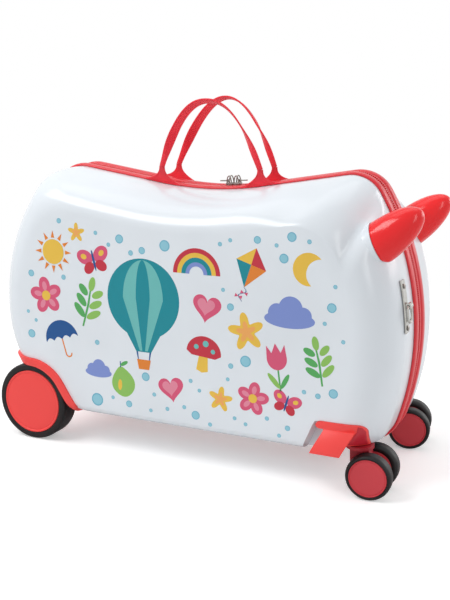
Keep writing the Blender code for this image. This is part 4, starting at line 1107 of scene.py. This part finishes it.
def tab_place(side, x, across, rise, lift):
    """Point of a tab, lift being its height over the tab's middle surface."""
    foot_x = x + across * TAB_FOOT_WIDTH / 2
    here = x + across * tab_half_width(rise)
    low = saddle_top(foot_x if rise == 0 else here) + 2 * SEAT_GAP
    z = low + (TAB_TOP_Z + 0.0012 - low) * rise
    return Vector((here, side * (TAB_Y + lift), z))


def make_tab(side, label, x):
    """Flared end of the webbing, sewn to the rim."""
    name = "%s_%s_strap_end" % (SIDE_NAME[side], label)
    rings = []
    for rise in shares(20):
        half = STRAP_THICKNESS / 2 * (0.8 + 0.55 * rise)
        ring = []
        for face in (1, -1):
            for share in shares(16):
                across = face * (2 * share - 1)
                edge = sqrt(max(0.0, 1.0 - abs(across) ** 6))
                ring.append(tab_place(side, x, across, rise, face * half * max(0.25, edge)))
        rings.append(ring)
    tab = loft(name, rings, "webbing", weave=(2 * TAB_FOOT_WIDTH, TAB_TOP_Z - SADDLE_Z))
    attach(tab, SIDE_NAME[side] + "_half")
    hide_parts("%s_handle_tab_%s" % (SIDE_NAME[side], label))
    make_stitches(side, label, x)


def add_stitch(shape, start, end, out, radius):
    """One stitch: a short thread that dips into the fabric at both ends."""
    along = end - start
    across = along.cross(out).normalized()
    rings = []
    for share in shares(5):
        centre = start + along * share + out * radius * 1.4 * sin(pi * share)
        thick = radius * (0.45 + 0.55 * sin(pi * share))
        rings.append([
            centre + across * thick * cos(pi * turn / 3) + out * thick * sin(pi * turn / 3)
            for turn in range(6)])
    skin(shape, rings)


def make_stitches(side, label, x):
    """Stitches along both swept edges of a tab and across its foot."""
    shape = bmesh.new()
    out = Vector((0.0, side, 0.0))
    lift = STRAP_THICKNESS / 2 * 1.12
    runs = []
    for edge in (-0.80, 0.80):
        runs.append([(edge, 0.10 + 0.62 * share) for share in shares(24)])
    for rise in (0.10, 0.17):
        runs.append([(-0.86 + 1.72 * share, rise) for share in shares(36)])
    for run in runs:
        places = [tab_place(side, x, across, rise, lift) for across, rise in run]
        for start, end in zip(places, places[1:]):
            add_stitch(shape, start.lerp(end, 0.12), start.lerp(end, 0.88), out, 0.00022)
    stitches = new_piece("%s_%s_stitches" % (SIDE_NAME[side], label), shape, "thread")
    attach(stitches, SIDE_NAME[side] + "_half")


# Printed pattern

def curve(steps, place):
    """Closed curve through the points that a function gives for each turn."""
    return [place(2 * pi * share) for share in shares(steps)[:-1]]


def ellipse(x, y, wide, tall, lean=0.0, steps=36):
    def place(turn):
        u, v = wide * cos(turn), tall * sin(turn)
        return x + u * cos(lean) - v * sin(lean), y + u * sin(lean) + v * cos(lean)

    return curve(steps, place)


def circle(x, y, radius, steps=40):
    return ellipse(x, y, radius, radius, 0.0, steps)


def arc(x, y, wide, tall, start, end, steps):
    """Part of an ellipse, from one angle to another."""
    turns = [start + (end - start) * share for share in shares(steps)]
    return [(x + wide * cos(turn), y + tall * sin(turn)) for turn in turns]


def balloon():
    """Hot-air balloon with striped gores and a basket."""
    envelope = arc(0.0, 0.14, 0.36, 0.36, radians(-62), radians(242), 48)
    shapes = [("teal", envelope + [(-0.075, -0.34), (0.075, -0.34)])]
    for colour, wide in (("mint", 0.20), ("teal", 0.07)):
        gore = arc(0.0, 0.14, wide, 0.345, 0.0, pi, 24)
        shapes.append((colour, gore + [(-0.20 * wide, -0.33), (0.20 * wide, -0.33)]))
    for hand in (-1, 1):
        rope = ((0.075, -0.34), (0.058, -0.34), (0.050, -0.42), (0.058, -0.42))
        shapes.append(("navy", [(hand * x, y) for x, y in rope]))
    shapes.append(("orange", [(-0.070, -0.41), (0.070, -0.41), (0.052, -0.50), (-0.052, -0.50)]))
    return shapes


def star():
    def place(turn):
        radius = 0.36 + 0.14 * cos(5 * turn)
        return radius * sin(turn), radius * cos(turn)

    points = curve(60, place)
    return [("yellow", points), ("apricot", [(0.55 * x, 0.55 * y) for x, y in points])]


def heart():
    def place(turn):
        height = 13 * cos(turn) - 5 * cos(2 * turn) - 2 * cos(3 * turn) - cos(4 * turn)
        return 0.5 * sin(turn) ** 3, height / 32

    points = curve(48, place)
    return [("rose", points), ("pink", [(0.62 * x - 0.03, 0.62 * y + 0.03) for x, y in points])]


def flower():
    shapes = []
    for index in range(5):
        turn = 2 * pi * index / 5 + pi / 2
        for colour, reach, wide, tall in (("rose", 0.27, 0.22, 0.17), ("pink", 0.25, 0.12, 0.07)):
            shapes.append((colour, ellipse(reach * cos(turn), reach * sin(turn), wide, tall, turn)))
    return shapes + [("yellow", circle(0.0, 0.0, 0.13, 28))]


def sprig():
    """Leaves in pairs on a curved stem."""
    stem = [(-0.02, -0.5), (0.02, -0.5), (0.05, 0.0), (0.02, 0.4), (-0.01, 0.4), (0.0, 0.0)]
    shapes = [("green", stem)]
    for step, height in enumerate((-0.19, 0.03, 0.25)):
        for colour, x, lean in (("green", -0.15, 142), ("leaf", 0.19, 38)):
            shapes.append((colour, ellipse(x, height, 0.18 - 0.02 * step, 0.075, radians(lean))))
    return shapes + [("leaf", ellipse(0.02, 0.42, 0.075, 0.15))]


def cloud():
    forms = [ellipse(0.0, -0.10, 0.46, 0.15)]
    for puff in ((-0.22, 0.0, 0.17), (0.02, 0.09, 0.22), (0.25, -0.01, 0.15)):
        forms.append(circle(*puff))
    return [("periwinkle", form) for form in forms]


def sun():
    shapes = []
    for index in range(12):
        turn = 2 * pi * index / 12
        ray = ((0.33, turn - 0.15), (0.50, turn), (0.33, turn + 0.15))
        shapes.append(("orange", [(reach * cos(angle), reach * sin(angle)) for reach, angle in ray]))
    return shapes + [("yellow", circle(0.0, 0.0, 0.29))]


def kite():
    top, bottom = (0.0, 0.5), (0.0, -0.26)
    left, right, middle = (-0.30, 0.18), (0.30, 0.18), (0.0, 0.18)
    tail = [(0.06 * sin(2.2 * pi * share), -0.26 - 0.26 * share) for share in shares(16)]
    shapes = [
        ("yellow", [top, middle, left]), ("crimson", [top, right, middle]),
        ("teal", [left, middle, bottom]), ("orange", [middle, right, bottom]),
        ("navy", [(x - 0.008, y) for x, y in tail] + [(x + 0.008, y) for x, y in tail[::-1]])]
    for x, y in (tail[6], tail[12]):
        for end in (x - 0.07, x + 0.07):
            shapes.append(("rose", [(end, y + 0.035), (x, y), (end, y - 0.035)]))
    return shapes


def rainbow():
    shapes = []
    for colour, outer, inner in (
            ("crimson", 0.50, 0.41), ("yellow", 0.41, 0.32), ("teal", 0.32, 0.23),
            ("periwinkle", 0.23, 0.15)):
        stripe = arc(0.0, -0.2, outer, outer, 0.0, pi, 24) + arc(0.0, -0.2, inner, inner, pi, 0.0, 24)
        shapes.append((colour, stripe))
    return shapes


def butterfly():
    shapes = []
    for hand in (-1, 1):
        for colour, x, y, wide, tall, lean in (
                ("rose", 0.25, 0.13, 0.25, 0.19, 32), ("crimson", 0.19, -0.17, 0.18, 0.14, -38),
                ("yellow", 0.28, 0.15, 0.09, 0.07, 32)):
            shapes.append((colour, ellipse(hand * x, y, wide, tall, hand * radians(lean))))
    return shapes + [("navy", ellipse(0.0, 0.0, 0.035, 0.28))]


def umbrella():
    canopy = arc(0.0, 0.0, 0.46, 0.46, 0.0, pi, 30)
    canopy += [(0.92 * share - 0.46, 0.075 * abs(sin(4 * pi * share))) for share in shares(40)[1:-1]]
    shaft = [(-0.018, 0.05), (0.018, 0.05), (0.018, -0.36), (-0.018, -0.36)]
    hook = arc(0.078, -0.36, 0.095, 0.095, pi, 2 * pi, 12)
    hook += arc(0.078, -0.36, 0.060, 0.060, 2 * pi, pi, 12)
    return [("orange", shaft), ("orange", hook), ("navy", canopy)]


def mushroom():
    cap = arc(0.0, 0.02, 0.44, 0.40, 0.0, pi, 30) + [(-0.30, -0.07), (0.30, -0.07)]
    stem = [(-0.11, -0.03), (0.11, -0.03), (0.15, -0.40), (0.0, -0.45), (-0.15, -0.40)]
    spots = ((-0.20, 0.14, 0.060), (0.03, 0.25, 0.075), (0.23, 0.10, 0.055))
    return [("yellow", stem), ("crimson", cap)] + [("mint", circle(*spot, 24)) for spot in spots]


def tulip():
    cup = [(-0.20, 0.46), (-0.10, 0.30), (0.0, 0.50), (0.10, 0.30), (0.20, 0.46)]
    cup += arc(0.0, 0.18, 0.22, -0.24, 0.0, pi, 20)
    stem = [(-0.018, -0.04), (0.018, -0.04), (0.018, -0.50), (-0.018, -0.50)]
    return [
        ("green", stem), ("leaf", ellipse(-0.12, -0.28, 0.20, 0.055, radians(125))),
        ("green", ellipse(0.12, -0.30, 0.18, 0.050, radians(55))), ("rose", cup)]


def moon():
    """Crescent: a large arc, closed by a flatter one through its two tips."""
    outer = arc(0.0, 0.0, 0.45, 0.45, radians(60), radians(300), 30)
    tip_x, tip_y = outer[0]
    shift = 0.14
    radius = sqrt(shift ** 2 + tip_y ** 2)
    start = atan2(-tip_y, -shift)
    inner = arc(tip_x + shift, 0.0, radius, radius, start, -2 * pi - start, 30)
    return [("yellow", outer + inner[1:-1])]


def pear():
    def place(turn):
        radius = 0.30 - 0.075 * sin(turn) + 0.05 * cos(2 * turn)
        return radius * cos(turn), 0.42 * sin(turn) - 0.06

    return [
        ("leaf", curve(48, place)), ("yellow", ellipse(-0.11, -0.14, 0.06, 0.15, radians(-12))),
        ("navy", [(-0.015, 0.33), (0.015, 0.33), (0.035, 0.50), (0.008, 0.50)]),
        ("green", ellipse(0.13, 0.43, 0.13, 0.05, radians(20)))]


# Motif, place on the face as (x, z), size and lean in degrees
LAYOUT = (
    (balloon, -0.044, 0.170, 0.112, 0), (sun, -0.160, 0.232, 0.044, 0), (kite, 0.082, 0.226, 0.052, -18),
    (rainbow, 0.022, 0.232, 0.050, 0), (butterfly, -0.106, 0.226, 0.038, 14),
    (flower, -0.172, 0.180, 0.040, 10), (sprig, -0.116, 0.176, 0.050, -14),
    (heart, 0.034, 0.186, 0.030, -8), (cloud, 0.128, 0.188, 0.054, 0), (star, 0.080, 0.164, 0.038, 12),
    (mushroom, 0.030, 0.134, 0.042, -6), (umbrella, -0.152, 0.130, 0.044, 16),
    (tulip, 0.116, 0.130, 0.046, 8), (moon, 0.148, 0.236, 0.034, -20), (pear, -0.072, 0.092, 0.038, 10),
    (sprig, 0.160, 0.140, 0.044, 12), (flower, 0.088, 0.092, 0.034, -10), (heart, -0.010, 0.090, 0.028, 10),
    (star, 0.050, 0.086, 0.026, -8), (cloud, -0.104, 0.100, 0.034, 0), (star, -0.128, 0.256, 0.020, 0),
    (butterfly, 0.126, 0.092, 0.030, -16),
)
MOTIF_SCALE = 1.12
DOT_RADII = (0.0076, 0.0024, 0.0050, 0.0030, 0.0062, 0.0022, 0.0040)
DOT_LIMIT = 62
DOT_TRIES = 900
DOT_FIELD = (-0.205, 0.055, 0.400, 0.220)
DOT_GAP = 0.0035
DOT_MARGIN = 0.004
FRONT_CLEAR = (0.150, 0.092)
REAR_CLEAR = (-0.122, 0.116)
LAYER_LIFT = 0.000015
PRINT_LIFT = 0.00006


def halton(index, base):
    """Evenly scattered numbers from 0 to 1."""
    value = 0.0
    share = 1.0
    while index > 0:
        share /= base
        value += share * (index % base)
        index //= base
    return value


def inside_face(x, z, margin):
    """Whether a spot on the flat face keeps its distance from the edge and the wheel housings."""
    if x > FRONT_CLEAR[0] - margin and z < FRONT_CLEAR[1] + margin:
        return False
    if x < REAR_CLEAR[0] + margin and z < REAR_CLEAR[1] + margin:
        return False
    outline = [point for point, _ in FACE]
    inside = False
    for here, after in zip(outline, outline[1:] + outline[:1]):
        if (Vector((x, z)) - here).length < margin:
            return False
        if (here.y > z) != (after.y > z):
            edge_x = here.x + (z - here.y) / (after.y - here.y) * (after.x - here.x)
            if x < edge_x:
                inside = not inside
    return inside


def dots():
    """Light blue dots scattered between the motifs, as (x, z, radius)."""
    left, low, wide, tall = DOT_FIELD
    taken = [(x, z, MOTIF_SCALE * size * 0.49) for _, x, z, size, _ in LAYOUT]
    found = []
    for index in range(1, DOT_TRIES):
        radius = DOT_RADII[index % len(DOT_RADII)]
        x = left + wide * halton(index, 2)
        z = low + tall * halton(index, 3)
        clear = all(
            (Vector((x, z)) - Vector((u, v))).length > reach + radius + DOT_GAP for u, v, reach in taken)
        if clear and inside_face(x, z, radius + DOT_MARGIN):
            found.append((x, z, radius))
            taken.append((x, z, radius + DOT_MARGIN))
        if len(found) == DOT_LIMIT:
            break
    return found


def add_printed(shape, points, side, layer, colour):
    """One flat patch of colour; it is mirrored on the left, so that it reads the same way round."""
    y = side * (HALF_WIDTH + PRINT_LIFT + LAYER_LIFT * layer)
    face = shape.faces.new([shape.verts.new((-side * x, y, z)) for x, z in points])
    face.material_index = list(PRINT).index(colour)
    face.normal_update()
    if face.normal.y * side < 0:
        face.normal_flip()


def make_print(side):
    """Pattern printed on a half's flat face: dots, then motifs in layers."""
    shape = bmesh.new()
    for x, z, radius in dots():
        for layer, (share, colour) in enumerate(((1.0, "sky"), (0.80, "pale_sky"))):
            add_printed(shape, circle(x, z, radius * share), side, layer, colour)
    for motif, x, z, size, lean in LAYOUT:
        right = Vector((cos(radians(lean)), sin(radians(lean)))) * MOTIF_SCALE * size
        for layer, (colour, points) in enumerate(motif()):
            placed = [(x + right.x * u - right.y * v, z + right.y * u + right.x * v) for u, v in points]
            add_printed(shape, placed, side, layer, colour)
    bmesh.ops.triangulate(shape, faces=shape.faces[:])
    piece = link_mesh(SIDE_NAME[side] + "_print", shape, [MATERIALS[colour] for colour in PRINT])
    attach(piece, SIDE_NAME[side] + "_half")


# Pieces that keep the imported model's shape

def dress_nodes():
    finish = {
        "right_ring_plate": "chrome", "right_tow_ring": "chrome", "right_upper_rivet": "gunmetal",
        "right_lower_rivet": "gunmetal",
    }
    for end in ("rear", "front"):
        finish[end + "_slider"] = "gunmetal"
        finish[end + "_pull"] = "gunmetal"
    for name in SIDE_NAME.values():
        finish[name + "_lining"] = "lining"
        # The fork gets the darkened red, which is painted shade
        finish[name + "_fork"] = "fork"
        for part in ("_rear_axle", "_king_pin", "_horn_screw", "_caster_axle"):
            finish[name + part] = "steel"
    for node, material in finish.items():
        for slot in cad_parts[node].material_slots:
            slot.material = MATERIALS[material]


# Stage, light and camera

def make_floor():
    """Pale floor that keeps the shadow near the case and fades into the background further off."""
    shape = bmesh.new()
    bmesh.ops.create_grid(shape, x_segments=1, y_segments=1, size=FLOOR_REACH)
    material, shader, tree = principled("studio_floor", (0.90, 0.90, 0.90), 0.9, Specular_IOR_Level=0.0)
    seen = add_node(tree, "ShaderNodeLightPath").outputs["Is Camera Ray"]
    lift = add_node(tree, "ShaderNodeMath", seen, FLOOR_LIFT, operation="MULTIPLY").outputs["Value"]
    set_up(tree, shader, Emission_Color=(1.0, 1.0, 1.0, 1.0), Emission_Strength=lift)
    place = add_node(tree, "ShaderNodeTexCoord").outputs["Object"]
    distance = add_node(tree, "ShaderNodeVectorMath", place, operation="LENGTH").outputs["Value"]
    fade = add_node(
        tree, "ShaderNodeMapRange", interpolation_type="SMOOTHSTEP", Value=distance,
        From_Min=FLOOR_FADE[0], From_Max=FLOOR_FADE[1]).outputs["Result"]
    clear = add_node(tree, "ShaderNodeBsdfTransparent").outputs["BSDF"]
    mix = add_node(tree, "ShaderNodeMixShader", fade, shader.outputs["BSDF"], clear).outputs["Shader"]
    set_up(tree, tree.nodes["Material Output"], Surface=mix)
    floor = link_mesh("floor", shape, [material])


def make_world():
    """White to the camera and in reflections, a softer white as light."""
    world = bpy.data.worlds.new("studio")
    world.use_nodes = True
    bpy.context.scene.world = world
    tree = world.node_tree
    rays = add_node(tree, "ShaderNodeLightPath").outputs
    seen = rays["Is Camera Ray"]
    for ray in ("Is Transmission Ray", "Is Glossy Ray"):
        seen = add_node(tree, "ShaderNodeMath", seen, rays[ray], operation="MAXIMUM").outputs["Value"]
    strength = add_node(tree, "ShaderNodeMapRange", Value=seen, To_Min=WORLD_LIGHT, To_Max=1.0)
    background = tree.nodes["Background"]
    set_up(tree, background, Color=(1.0, 1.0, 1.0, 1.0), Strength=strength.outputs["Result"])


def aim(name, data, target, azimuth, elevation, distance):
    """Object that faces a target from an azimuth (0 is -Y, 90 is +X) and an elevation in degrees."""
    turn, lift = radians(azimuth), radians(elevation)
    away = Vector((sin(turn) * cos(lift), -cos(turn) * cos(lift), sin(lift)))
    holder = bpy.data.objects.new(name, data)
    bpy.context.scene.collection.objects.link(holder)
    holder.location = Vector(target) + away * distance
    holder.rotation_euler = away.to_track_quat("Z", "Y").to_euler()
    return holder


def make_lights():
    """Softboxes round the case."""
    for name, azimuth, elevation, distance, size, power in LAMPS:
        lamp = bpy.data.lights.new(name, "AREA")
        lamp.shape = "RECTANGLE"
        lamp.size, lamp.size_y = size
        lamp.energy = power
        aim(name, lamp, LAMP_TARGET, azimuth, elevation, distance)


def make_camera():
    camera = bpy.data.cameras.new("camera")
    camera.lens = CAMERA_LENS
    camera.sensor_width = 36.0
    bpy.context.scene.camera = aim(
        "camera", camera, CAMERA_TARGET, CAMERA_AZIMUTH, CAMERA_ELEVATION, CAMERA_DISTANCE)


def build():
    make_camera()
    make_floor()
    make_world()
    make_lights()
    for side in SIDES:
        make_shell(side)
        make_bead(side)
        make_zip(side)
        make_rear_housing(side)
        make_front_housing(side)
        make_rear_wheel(side)
        make_caster(side)
        make_horn(side)
        make_handle(side)
        make_tab(side, "rear", HANDLE_X - HANDLE_SPAN / 2)
        make_tab(side, "front", HANDLE_X + HANDLE_SPAN / 2)
        make_print(side)
    make_hinge()
    dress_nodes()


build()
bpy.context.scene.view_settings.view_transform = "Standard"
